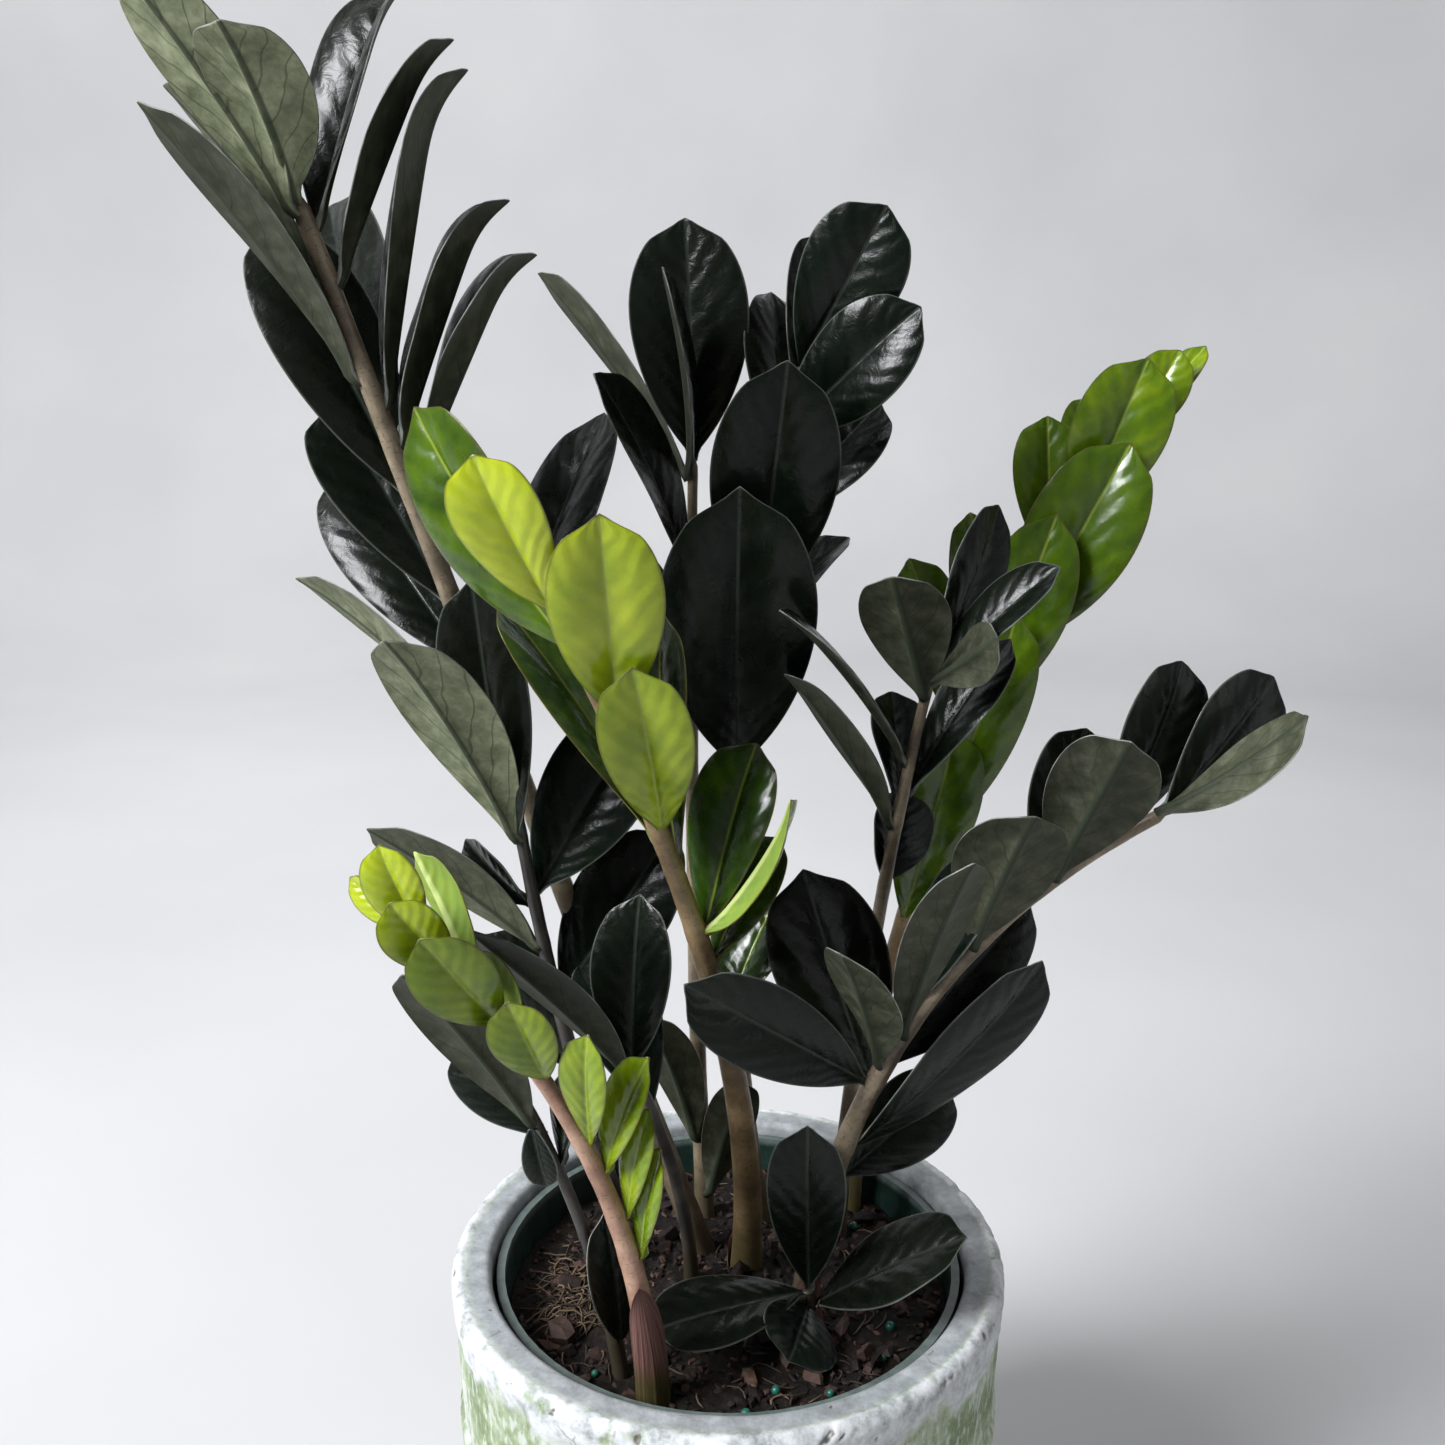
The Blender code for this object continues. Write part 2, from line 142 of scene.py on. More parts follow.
camera = bpy.data.objects.new("camera", bpy.data.cameras.new("camera"))
camera.data.lens = 35
camera.data.sensor_width = 36
camera.data.clip_start = 0.01
camera.location = CAMERA_PLACE
camera.rotation_euler = (math.pi / 2 - CAMERA_TILT_DOWN, 0, 0)
bpy.context.scene.collection.objects.link(camera)
bpy.context.scene.camera = camera
bpy.context.scene.view_settings.view_transform = "Standard"
print("camera", CAMERA_PLACE, "tilted down", round(math.degrees(CAMERA_TILT_DOWN), 1), "degrees")

# %% [markdown]
# ## A round cove of pale plaster
# In a studio the floor curves up into the wall, so no horizon shows behind the subject. Here the
# cove goes all the way round, because the plant is looked at from every side. It is one profile
# line, a floor, a quarter circle and a wall, turned about Z by a Screw modifier.

# %% Floor and wall
COVE_RADIUS = 2.6
COVE_BEND = 0.9
COVE_HEIGHT = 2.6
COVE_STEPS = 16

plaster, tree, shader = material("matt_plaster", Roughness=0.9)
place = node(tree, "TexCoord").outputs["Object"]
patches = node(tree, "TexNoise", inputs={"Vector": place, "Scale": per_mm(450), "Detail": 3})
tree.links.new(
    node(tree, "ValToRGB", inputs={"Fac": patches}, stops=[(0.3, "#bfbfc0"), (0.7, "#c8c8c7")]).outputs[0],
    shader.inputs["Base Color"],
)
profile = [(0, 0, 0), (COVE_RADIUS - COVE_BEND, 0, 0)]
for step in range(1, COVE_STEPS + 1):
    angle = math.pi / 2 * step / COVE_STEPS
    profile.append((COVE_RADIUS - COVE_BEND * (1 - math.sin(angle)), 0, COVE_BEND * (1 - math.cos(angle))))
profile.append((COVE_RADIUS, 0, COVE_HEIGHT))
mesh = bpy.data.meshes.new("cove")
mesh.from_pydata(profile, [(i, i + 1) for i in range(len(profile) - 1)], [])
mesh.materials.append(plaster)
cove = bpy.data.objects.new("cove", mesh)
cove.location.z = -0.0005
bpy.context.scene.collection.objects.link(cove)
turn = cove.modifiers.new("Turn", "SCREW")
turn.steps = turn.render_steps = 128
turn.use_smooth_shade = True
turn.use_merge_vertices = True
turn.merge_threshold = 0.0001
cove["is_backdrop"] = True
print("cove", COVE_RADIUS, "m in radius")

# %% [markdown]
# ## Soft light from the upper left
# A window to the upper left is the main light: a large area light, slightly cool, which draws
# long soft reflections on waxy leaflets. A second one lights the wall behind the plant, and two
# weak ones lift the edges and the dark side, while a dim sky fills the shadows. Large lights give
# soft shadows, because their size sets the shadow's blur.

# %% Lights and sky
LIGHTS = {
    "window": {"place": (-1.45, -0.8, 1.5), "aim": (0, 0, 0.35), "size": 0.85, "watts": 31, "spread": 110},
    "wall": {"place": (-0.9, 0.5, 2.3), "aim": (-0.5, 2.6, 0.7), "size": 1.6, "watts": 37, "spread": 130},
    "back": {"place": (0.9, 1.3, 1.9), "aim": (0, 0, 0.2), "size": 1.0, "watts": 1.5, "spread": 80},
    "fill": {"place": (1.5, -1.3, 0.9), "aim": (0, 0, 0.3), "size": 1.2, "watts": 1.6, "spread": 110},
}
DAYLIGHT = "#fafbff"

for name, spec in LIGHTS.items():
    lamp = bpy.data.lights.new(name, "AREA")
    lamp.shape = "SQUARE"
    lamp.size = spec["size"]
    lamp.energy = spec["watts"]
    lamp.spread = math.radians(spec["spread"])
    lamp.color = tint(DAYLIGHT)[:3]
    light = bpy.data.objects.new(name, lamp)
    light.location = spec["place"]
    light.rotation_euler = (Vector(spec["aim"]) - light.location).to_track_quat("-Z", "Y").to_euler()
    bpy.context.scene.collection.objects.link(light)

sky = bpy.data.worlds.new("sky")
sky.use_nodes = True
sky.node_tree.nodes["Background"].inputs["Color"].default_value = tint("#ebecee")
sky.node_tree.nodes["Background"].inputs["Strength"].default_value = 0.17
bpy.context.scene.world = sky
print("lights:", {name: spec["watts"] for name, spec in LIGHTS.items()})

# %% [markdown]
# ## The plan of the fronds
# Each frond is a stem with leaflets. A stem rises from `base` on the mix to `tip` (x, y, height
# over the mix), `bow` is how far its middle lies off the straight line, and `radii` are at its
# foot and tip, all in millimetres. A leaflet is (place along the stem, length, width, lean, reach,
# turn). Lean is degrees to the right of upright, reach is degrees out towards the front, and turn
# rotates the glossy face round the midrib, with 0 facing the front. The plan is written once and
# everything that grows is made from it by loops.

# %% The plan
FRONDS = {
    "tall_left": {
        "base": (-8, 18), "tip": (-106, -40, 336), "bow": (0, 0, 0), "radii": (4.2, 2.2), "age": "mature",
        "leaflets": [
            (1, 45, 27, -7, 42, 164),
            (0.99, 61, 26, -28, 20, 147),
            (0.95, 57, 30, -38, -6, 114),
            (0.87, 79, 32, -32, 12, 119),
            (0.78, 81, 30, -27, -10, 15),
            (0.69, 66, 30, -31, -15, 23),
            (0.63, 83, 31, -42, -28, 11),
            (0.98, 61, 33, 19, -10, -44),
            (0.94, 65, 30, 24, -5, -76),
            (0.85, 85, 29, 12, 0, -72),
            (0.82, 68, 34, 21, -5, -78),
            (0.79, 67, 34, 25, -5, -80),
            (0.81, 104, 34, -23, -40, -10),
            (0.6, 92, 34, 17, -24, -40),
        ],
    },
    "back_centre": {
        "base": (-8, 37), "tip": (-11, 40, 268), "bow": (-2, 0, 0), "radii": (3.2, 1.5), "age": "mature",
        "leaflets": [
            (1, 70, 37, 0, 0, 0),
            (0.98, 65, 26, -5, 20, 84),
            (0.98, 78, 26, -36, -12, 107),
            (0.86, 75, 30, -19, 24, 68),
            (0.75, 66, 34, 25, -20, -30),
            (0.7, 66, 34, -30, -10, 30),
            (0.13, 58, 20, -14, 14, 160),
            (0.05, 56, 18, 12, 16, 180),
        ],
    },
    "centre": {
        "base": (12, 37), "tip": (21, 25, 295), "bow": (-14, 0, 0), "radii": (3.6, 1.6), "age": "mature",
        "leaflets": [
            (1, 51, 31, 29, 18, -7),
            (0.94, 53, 30, 44, 24, -21),
            (0.97, 49, 27, 10, -12, 32),
            (0.91, 55, 28, 0, -24, 32),
            (0.76, 78, 38, 7, 22, 0),
            (0.58, 96, 48, -1, 20, 0),
            (0.72, 43, 26, 39, -10, -66),
            (0.84, 50, 31, 39, -10, -40),
        ],
    },
    "lime_centre": {
        "base": (6, 10), "tip": (-43, -66, 237), "bow": (15, 2, -3), "radii": (5.0, 1.8), "age": "young",
        "leaflets": [
            (0.96, 72, 32, -36, -12, -31),
            (1, 43, 24, -23, 18, -18),
            (0.88, 59, 29, -2, 24, 0),
            (0.75, 54, 25, -5, 25, 8),
            (0.69, 70, 28, -5, -5, -49),
            (0.6, 55, 28, 15, -5, -40),
            (0.6, 54, 24, 29, 22, 87),
            (0.56, 39, 25, 26, -8, -54),
            (0.47, 36, 25, 24, -26, -49),
            (0.73, 78, 27, -32, -10, 66),
        ],
    },
    "lime_front": {
        "base": (-22, -53), "tip": (-81, -75, 158), "bow": (14, 2, 6), "radii": (3.8, 1.4), "age": "young",
        "leaflets": [
            (1, 20, 10, -55, -20, -26),
            (0.98, 27, 17, -20, 10, -11),
            (0.92, 25, 17, -30, 20, 9),
            (0.8, 37, 21, -27, 25, 14),
            (0.68, 30, 18, -16, 22, -2),
            (0.54, 40, 15, 1, 20, -31),
            (0.48, 39, 16, 17, 10, -49),
            (0.38, 38, 13, 9, 10, -49),
            (0.3, 39, 14, 7, 10, -51),
            (0.86, 39, 18, -26, -20, 137),
            (0.74, 28, 18, -30, -20, 147),
        ],
    },
    "lime_right": {
        "base": (44, 46), "tip": (128, 55, 271), "bow": (-18, 0, 0), "radii": (4.0, 1.4), "age": "young",
        "leaflets": [
            (1, 41, 14, 40, -12, -53),
            (1, 32, 19, 25, 5, -18),
            (0.9, 57, 31, 17, 12, -1),
            (0.76, 74, 36, 24, 12, -10),
            (0.67, 73, 30, 15, 14, -13),
            (0.85, 49, 23, -1, -5, -8),
            (0.9, 45, 23, 12, -20, 17),
            (0.68, 65, 25, -1, -10, 30),
            (0.64, 63, 25, -17, -10, 30),
            (0.51, 87, 28, 15, 14, 3),
            (0.41, 75, 28, 10, 14, 2),
        ],
    },
    "right_inner": {
        "base": (38, 28), "tip": (60, 0, 210), "bow": (-4, 0, 0), "radii": (3.2, 1.5), "age": "mature",
        "leaflets": [
            (0.96, 47, 26, -17, 30, 166),
            (1, 52, 24, 27, -18, 34),
            (0.98, 49, 23, 40, 12, -73),
            (0.98, 31, 18, 40, 42, 123),
            (0.81, 55, 26, 32, -5, -63),
            (0.79, 34, 26, -2, -22, 46),
            (0.86, 64, 24, -36, 16, 95),
            (0.76, 59, 24, -33, 5, 119),
            (0.66, 29, 26, 14, -15, 27),
        ],
    },
    "right_outer": {
        "base": (24, -9), "tip": (119, -38, 177), "bow": (-18, 0, 18), "radii": (3.8, 1.8), "age": "mature",
        "leaflets": [
            (1, 47, 21, 43, 26, 104),
            (1, 48, 28, 42, -12, 11),
            (0.93, 50, 28, 22, -5, 22),
            (0.83, 55, 29, 14, 30, 173),
            (0.67, 55, 30, 11, 28, 175),
            (0.8, 45, 29, 19, -12, 8),
            (0.49, 90, 21, 8, 34, 200),
            (0.51, 58, 27, 27, -4, -64),
            (0.43, 66, 25, -16, 34, 129),
            (0.28, 85, 27, 39, 10, 27),
            (0.42, 66, 26, 43, -14, 3),
            (0.39, 73, 27, -49, 22, 15),
            (0.4, 69, 35, -18, 4, -3),
            (0.22, 44, 27, 51, -10, -9),
        ],
    },
    "left_inner": {
        "base": (-30, 14), "tip": (-61, -27, 184), "bow": (-4, 0, 0), "radii": (3.0, 1.6), "age": "mature",
        "leaflets": [
            (0.9, 75, 31, -21, 22, 159),
            (1, 90, 26, -49, -22, 120),
            (0.9, 75, 29, -6, 4, -22),
            (0.7, 61, 28, -48, 8, 145),
            (0.77, 27, 23, -47, -10, -46),
            (0.45, 50, 28, -35, -5, 20),
            (0.8, 60, 32, 30, -6, -20),
            (0.6, 60, 32, 34, 0, -20),
        ],
    },
    "front_inner": {
        "base": (-12, 2), "tip": (-28, -32, 97), "bow": (4, 0, 0), "radii": (2.4, 1.5), "age": "mature",
        "leaflets": [
            (1, 51, 26, 1, -8, -17),
            (0.98, 73, 28, -36, 18, 141),
            (0.82, 50, 26, -20, -20, 10),
        ],
    },
    "low_left": {
        "base": (-32, -43), "tip": (-58, -48, 97), "bow": (4, 0, 0), "radii": (2.4, 1.4), "age": "mature",
        "leaflets": [
            (0.93, 66, 25, -27, 18, 162),
            (0.87, 34, 19, -48, -16, -13),
            (0.91, 18, 11, 168, 10, 18),
            (0.15, 43, 20, -5, 0, 38),
            (0.78, 27, 14, 7, 0, -50),
        ],
    },
    "low_front": {
        "base": (27, -20), "tip": (25, -22, 16), "bow": (0, 0, 0), "radii": (2.4, 1.8), "age": "mature",
        "leaflets": [
            (1, 58, 25, -1, 5, -14),
            (0.68, 57, 30, 50, 18, -80),
            (0.98, 51, 26, -85, 25, 79),
            (0.73, 22, 27, 242, 70, 26),
        ],
    },
}
leaflets = sum(len(frond["leaflets"]) for frond in FRONDS.values())
print(len(FRONDS), "fronds with", leaflets, "leaflets")

# %% [markdown]
# ## The line of a stem
# A frond's stem is a smooth bow, so a quadratic curve with three handles is enough: foot, middle
# and tip. The same small class answers where a point of the stem is, which way it runs there and
# how thick it is, both for the stem itself and for everything that grows from it.

# %% Stems as curves
SOIL_DOME = 1.5 * MM
GAP = 0.3 * MM

soil_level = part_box("soil")[1].z - SOIL_DOME


class Stem:
    def __init__(self, frond):
        x, y = frond["base"]
        self.foot = Vector((x * MM, y * MM, soil_level))
        x, y, rise = frond["tip"]
        self.tip = Vector((x * MM, y * MM, soil_level + rise * MM))
        self.pull = (self.foot + self.tip) / 2 + 2 * MM * Vector(frond["bow"])
        self.radii = [radius * MM for radius in frond["radii"]]

    def point(self, at):
        return (1 - at) ** 2 * self.foot + 2 * at * (1 - at) * self.pull + at ** 2 * self.tip

    def direction(self, at):
        return ((1 - at) * (self.pull - self.foot) + at * (self.tip - self.pull)).normalized()

    def radius(self, at):
        return self.radii[0] + (self.radii[1] - self.radii[0]) * at


stems = {name: Stem(frond) for name, frond in FRONDS.items()}
print("longest stem", round(max((s.tip - s.foot).length for s in stems.values()) / MM), "mm")

# %% [markdown]
# ## The skin of a near-black leaflet
# The upper side is a thick waxy cuticle over a leaf so full of pigment that it is almost black.
# It returns little colour of its own: what the eye sees is the soft reflection, broken by fine
# cells and by faint side veins. The base colour is therefore very dark, and the work goes into
# roughness and bump. `midrib_mm` and `edge_mm` are distances that each leaflet's mesh carries, so
# that the midrib and the margin keep their real width on a small leaflet and on a large one.

# %% Mature leaflets: upper side
def vein_wave(tree, count, slant):
    """The side veins, as a wave that leans forward towards the margin, and the place along it."""
    uv = node(tree, "SeparateXYZ", inputs={"Vector": node(tree, "UVMap", {"uv_map": "blade"})})
    signed = node(tree, "Math", {"operation": "MULTIPLY_ADD"}, {0: uv.outputs["X"], 1: 2.0, 2: -1.0})
    off_rib = node(tree, "Math", {"operation": "ABSOLUTE"}, {0: signed})
    along = node(tree, "Math", {"operation": "MULTIPLY"}, {0: uv.outputs["Y"], 1: count})
    phase = node(tree, "Math", {"operation": "MULTIPLY_ADD"}, {0: off_rib, 1: -slant, 2: along})
    cell = node(tree, "TexCoord").outputs["Object"]
    bend = node(tree, "TexNoise", inputs={"Vector": cell, "Scale": per_mm(9), "Detail": 1})
    bent = node(tree, "Math", {"operation": "MULTIPLY_ADD"}, {0: bend, 1: 0.9, 2: phase})
    turned = node(tree, "Math", {"operation": "MULTIPLY"}, {0: bent, 1: math.tau})
    return node(tree, "Math", {"operation": "COSINE"}, {0: turned}), uv.outputs["Y"]


mature_upper, tree, shader = material(
    "mature_cuticle", IOR=1.46, Specular_IOR_Level=0.22, Coat_Weight=0.1, Coat_Roughness=0.14,
)
place = node(tree, "TexCoord").outputs["Object"]
seed = node(tree, "Attribute", {"attribute_name": "leaf_seed"}).outputs["Fac"]
rib = node(tree, "Attribute", {"attribute_name": "midrib_mm"}).outputs["Fac"]
edge = node(tree, "Attribute", {"attribute_name": "edge_mm"}).outputs["Fac"]
wave = vein_wave(tree, 9.0, 2.4)[0]
clouds = node(tree, "TexNoise", inputs={"Vector": place, "Scale": per_mm(22), "Detail": 4, "Roughness": 0.6})
skin = node(
    tree, "ValToRGB", inputs={"Fac": clouds}, stops=[(0.3, "#040a06"), (0.55, "#08120b"), (0.8, "#0f1814")],
)
warm = node(tree, "ValToRGB", inputs={"Fac": clouds}, stops=[(0.3, "#070b06"), (0.8, "#14170f")])
each = node(tree, "Mix", {"data_type": "RGBA"}, {"Factor": seed, "A": skin, "B": warm})
veined = node(tree, "Math", {"operation": "MULTIPLY_ADD"}, {0: wave, 1: 0.06, 2: 0.05})
with_veins = node(
    tree, "Mix", {"data_type": "RGBA", "clamp_factor": True},
    {"Factor": veined, "A": each, "B": tint("#1b241b")},
)
rib_mask = node(
    tree, "MapRange", {"interpolation_type": "SMOOTHSTEP"},
    {"Value": rib, "From Min": 0.25, "From Max": 0.8, "To Min": 0.4, "To Max": 0.0},
)
with_rib = node(
    tree, "Mix", {"data_type": "RGBA"}, {"Factor": rib_mask, "A": with_veins, "B": tint("#3b423a")},
)
edge_mask = node(
    tree, "MapRange", {"interpolation_type": "SMOOTHSTEP"},
    {"Value": edge, "From Min": 0.1, "From Max": 0.7, "To Min": 0.6, "To Max": 0.0},
)
with_edge = node(
    tree, "Mix", {"data_type": "RGBA"}, {"Factor": edge_mask, "A": with_rib, "B": tint("#5d645b")},
)
tree.links.new(socket_of(with_edge), shader.inputs["Base Color"])
cells = node(tree, "TexNoise", inputs={"Vector": place, "Scale": per_mm(1.1), "Detail": 3, "Roughness": 0.7})
smears = node(tree, "TexNoise", inputs={"Vector": place, "Scale": per_mm(7), "Detail": 3, "Distortion": 0.6})
shine = node(
    tree, "MapRange",
    inputs={"Value": smears, "From Min": 0.3, "From Max": 0.7, "To Min": 0.23, "To Max": 0.34},
)
tree.links.new(socket_of(shine), shader.inputs["Roughness"])
pucker = node(
    tree, "TexNoise",
    inputs={"Vector": place, "Scale": per_mm(5), "Detail": 3, "Roughness": 0.6, "Distortion": 0.8},
)
puckered = node(tree, "Bump", inputs={"Height": pucker, "Strength": 0.3, "Distance": 1.0 * MM})
quilt = node(
    tree, "Bump", inputs={"Height": wave, "Strength": 0.14, "Distance": 0.6 * MM, "Normal": puckered},
)
fine = node(tree, "Bump", inputs={"Height": cells, "Strength": 0.16, "Distance": 0.3 * MM, "Normal": quilt})
tree.links.new(socket_of(fine), shader.inputs["Normal"])
print(mature_upper.name, len(tree.nodes), "nodes")

# %% [markdown]
# The underside has no thick wax. It is matt, olive to grey-brown, with the midrib standing out
# and the side veins drawn as thin darker lines. `tone` runs from dark grey at 0 to pale olive at 1.
# The palest olive is partly the underside's own colour and partly painted light shining through the
# blade. The margin is a thin pale rim of clear tissue, which catches the light all round the blade.

# %% Mature leaflets: underside and margin
mature_under, tree, shader = material("mature_underside", IOR=1.4, Specular_IOR_Level=0.25)
place = node(tree, "TexCoord").outputs["Object"]
tone = node(tree, "Attribute", {"attribute_name": "tone"}).outputs["Fac"]
rib = node(tree, "Attribute", {"attribute_name": "midrib_mm"}).outputs["Fac"]
wave = vein_wave(tree, 6.0, 1.9)[0]
mottle = node(tree, "TexNoise", inputs={"Vector": place, "Scale": per_mm(6), "Detail": 6, "Roughness": 0.65})
# The olive ramp is the underside's own paler colour. At full tone it is also painted light shining through
# the blade.
olive = node(
    tree, "ValToRGB", inputs={"Fac": mottle}, stops=[(0.3, "#5f684f"), (0.5, "#838b6d"), (0.72, "#aab092")],
)
grey = node(
    tree, "ValToRGB", inputs={"Fac": mottle}, stops=[(0.3, "#10110d"), (0.5, "#1d1d17"), (0.72, "#2f2e27")],
)
each = node(tree, "Mix", {"data_type": "RGBA"}, {"Factor": tone, "A": grey, "B": olive})
line = node(
    tree, "MapRange", {"interpolation_type": "SMOOTHSTEP"},
    {"Value": wave, "From Min": 0.93, "From Max": 1.0, "To Min": 0.0, "To Max": 0.45},
)
with_veins = node(tree, "Mix", {"data_type": "RGBA"}, {"Factor": line, "A": each, "B": tint("#262c24")})
rib_mask = node(
    tree, "MapRange", {"interpolation_type": "SMOOTHSTEP"},
    {"Value": rib, "From Min": 0.35, "From Max": 0.95, "To Min": 0.8, "To Max": 0.0},
)
with_rib = node(
    tree, "Mix", {"data_type": "RGBA"}, {"Factor": rib_mask, "A": with_veins, "B": tint("#2f372a")},
)
tree.links.new(socket_of(with_rib), shader.inputs["Base Color"])
dull = node(
    tree, "MapRange",
    inputs={"Value": mottle, "From Min": 0.3, "From Max": 0.7, "To Min": 0.48, "To Max": 0.66},
)
tree.links.new(socket_of(dull), shader.inputs["Roughness"])
raised = node(tree, "Bump", inputs={"Height": line, "Strength": 0.25, "Distance": 0.4 * MM})
grain = node(tree, "Bump", inputs={"Height": mottle, "Strength": 0.2, "Distance": 0.5 * MM, "Normal": raised})
tree.links.new(socket_of(grain), shader.inputs["Normal"])

mature_margin, tree, shader = material("mature_margin", IOR=1.45, Roughness=0.4)
place = node(tree, "TexCoord").outputs["Object"]
worn = node(tree, "TexNoise", inputs={"Vector": place, "Scale": per_mm(8), "Detail": 2})
pale = node(tree, "ValToRGB", inputs={"Fac": worn}, stops=[(0.35, "#454a44"), (0.65, "#8d9188")])
tree.links.new(socket_of(pale), shader.inputs["Base Color"])
print(mature_under.name, mature_margin.name)

# %% [markdown]
# ## The skin of new growth
# A ZZ leaflet unfolds lime green and darkens over months, so fronds of both ages stand side by
# side. `tone` says how far a leaflet has gone, from 0 for lime to 1 for deep green. The young
# cuticle is thin: the veins quilt it, light passes a little way in, and the midrib is pale.

# %% Young leaflets: upper side
young_upper, tree, shader = material(
    "young_cuticle", IOR=1.45, Specular_IOR_Level=0.45, Coat_Weight=0.25, Coat_Roughness=0.12,
    Subsurface_Weight=0.08, Subsurface_Scale=1.5 * MM,
)
place = node(tree, "TexCoord").outputs["Object"]
ripe = node(tree, "Attribute", {"attribute_name": "tone"}).outputs["Fac"]
rib = node(tree, "Attribute", {"attribute_name": "midrib_mm"}).outputs["Fac"]
edge = node(tree, "Attribute", {"attribute_name": "edge_mm"}).outputs["Fac"]
wave, along = vein_wave(tree, 8.0, 2.2)
clouds = node(tree, "TexNoise", inputs={"Vector": place, "Scale": per_mm(11), "Detail": 4, "Roughness": 0.6})
shift = node(tree, "Math", {"operation": "MULTIPLY_ADD"}, {0: clouds, 1: 0.56, 2: -0.28})
quilted = node(tree, "Math", {"operation": "MULTIPLY_ADD"}, {0: wave, 1: -0.02, 2: shift})
age = node(tree, "Math", {"operation": "ADD", "use_clamp": True}, {0: quilted, 1: ripe})
skin = node(
    tree, "ValToRGB", inputs={"Fac": age},
    stops=[(0.0, "#a9b824"), (0.25, "#7f940c"), (0.5, "#4e6a08"), (0.75, "#27400a"), (1.0, "#0f1d0a")],
)
rib_mask = node(
    tree, "MapRange", {"interpolation_type": "SMOOTHSTEP"},
    {"Value": rib, "From Min": 0.2, "From Max": 0.65, "To Min": 0.45, "To Max": 0.0},
)
with_rib = node(tree, "Mix", {"data_type": "RGBA"}, {"Factor": rib_mask, "A": skin, "B": tint("#9fae48")})
tip_mask = node(
    tree, "MapRange", {"interpolation_type": "SMOOTHSTEP"},
    {"Value": along, "From Min": 0.955, "From Max": 1.0, "To Min": 0.0, "To Max": 0.8},
)
with_tip = node(tree, "Mix", {"data_type": "RGBA"}, {"Factor": tip_mask, "A": with_rib, "B": tint("#4a4523")})
edge_mask = node(
    tree, "MapRange", {"interpolation_type": "SMOOTHSTEP"},
    {"Value": edge, "From Min": 0.1, "From Max": 0.9, "To Min": 0.7, "To Max": 0.0},
)
with_edge = node(
    tree, "Mix", {"data_type": "RGBA"}, {"Factor": edge_mask, "A": with_tip, "B": tint("#4f4d20")},
)
tree.links.new(socket_of(with_edge), shader.inputs["Base Color"])
smears = node(tree, "TexNoise", inputs={"Vector": place, "Scale": per_mm(5), "Detail": 3})
shine = node(
    tree, "MapRange",
    inputs={"Value": smears, "From Min": 0.3, "From Max": 0.7, "To Min": 0.18, "To Max": 0.32},
)
tree.links.new(socket_of(shine), shader.inputs["Roughness"])
quilt = node(tree, "Bump", inputs={"Height": wave, "Strength": 0.13, "Distance": 0.8 * MM})
cells = node(tree, "TexNoise", inputs={"Vector": place, "Scale": per_mm(1.4), "Detail": 2})
fine = node(tree, "Bump", inputs={"Height": cells, "Strength": 0.1, "Distance": 0.3 * MM, "Normal": quilt})
tree.links.new(socket_of(fine), shader.inputs["Normal"])
print(young_upper.name, len(tree.nodes), "nodes")

# %% [markdown]
# Under a young leaflet the green is milkier and the midrib paler still. Its margin turns brown
# first where it was folded in the bud, so the rim is a mix of pale green and brown.

# %% Young leaflets: underside and margin
young_under, tree, shader = material(
    "young_underside", IOR=1.4, Subsurface_Weight=0.12, Subsurface_Scale=1.5 * MM,
)
place = node(tree, "TexCoord").outputs["Object"]
ripe = node(tree, "Attribute", {"attribute_name": "tone"}).outputs["Fac"]
rib = node(tree, "Attribute", {"attribute_name": "midrib_mm"}).outputs["Fac"]
wave = vein_wave(tree, 8.0, 2.2)[0]
mottle = node(tree, "TexNoise", inputs={"Vector": place, "Scale": per_mm(6), "Detail": 4})
shift = node(tree, "Math", {"operation": "MULTIPLY_ADD"}, {0: mottle, 1: 0.4, 2: -0.2})
age = node(tree, "Math", {"operation": "ADD", "use_clamp": True}, {0: shift, 1: ripe})
skin = node(
    tree, "ValToRGB", inputs={"Fac": age},
    stops=[(0.0, "#a3b240"), (0.4, "#76903a"), (0.7, "#4c6c40"), (1.0, "#2c4533")],
)
rib_mask = node(
    tree, "MapRange", {"interpolation_type": "SMOOTHSTEP"},
    {"Value": rib, "From Min": 0.4, "From Max": 1.1, "To Min": 0.7, "To Max": 0.0},
)
with_rib = node(tree, "Mix", {"data_type": "RGBA"}, {"Factor": rib_mask, "A": skin, "B": tint("#c2cf86")})
tree.links.new(socket_of(with_rib), shader.inputs["Base Color"])
dull = node(
    tree, "MapRange",
    inputs={"Value": mottle, "From Min": 0.3, "From Max": 0.7, "To Min": 0.4, "To Max": 0.55},
)
tree.links.new(socket_of(dull), shader.inputs["Roughness"])
quilt = node(tree, "Bump", inputs={"Height": wave, "Strength": 0.2, "Distance": 0.6 * MM})
tree.links.new(socket_of(quilt), shader.inputs["Normal"])

young_margin, tree, shader = material("young_margin", IOR=1.45, Roughness=0.4)
place = node(tree, "TexCoord").outputs["Object"]
worn = node(tree, "TexNoise", inputs={"Vector": place, "Scale": per_mm(7), "Detail": 2})
rim = node(tree, "ValToRGB", inputs={"Fac": worn}, stops=[(0.4, "#6f7429"), (0.6, "#43381d")])
tree.links.new(socket_of(rim), shader.inputs["Base Color"])
BLADE_SKINS = {
    "mature": (mature_upper, mature_under, mature_margin),
    "young": (young_upper, young_under, young_margin),
}
print("skins for", list(BLADE_SKINS))

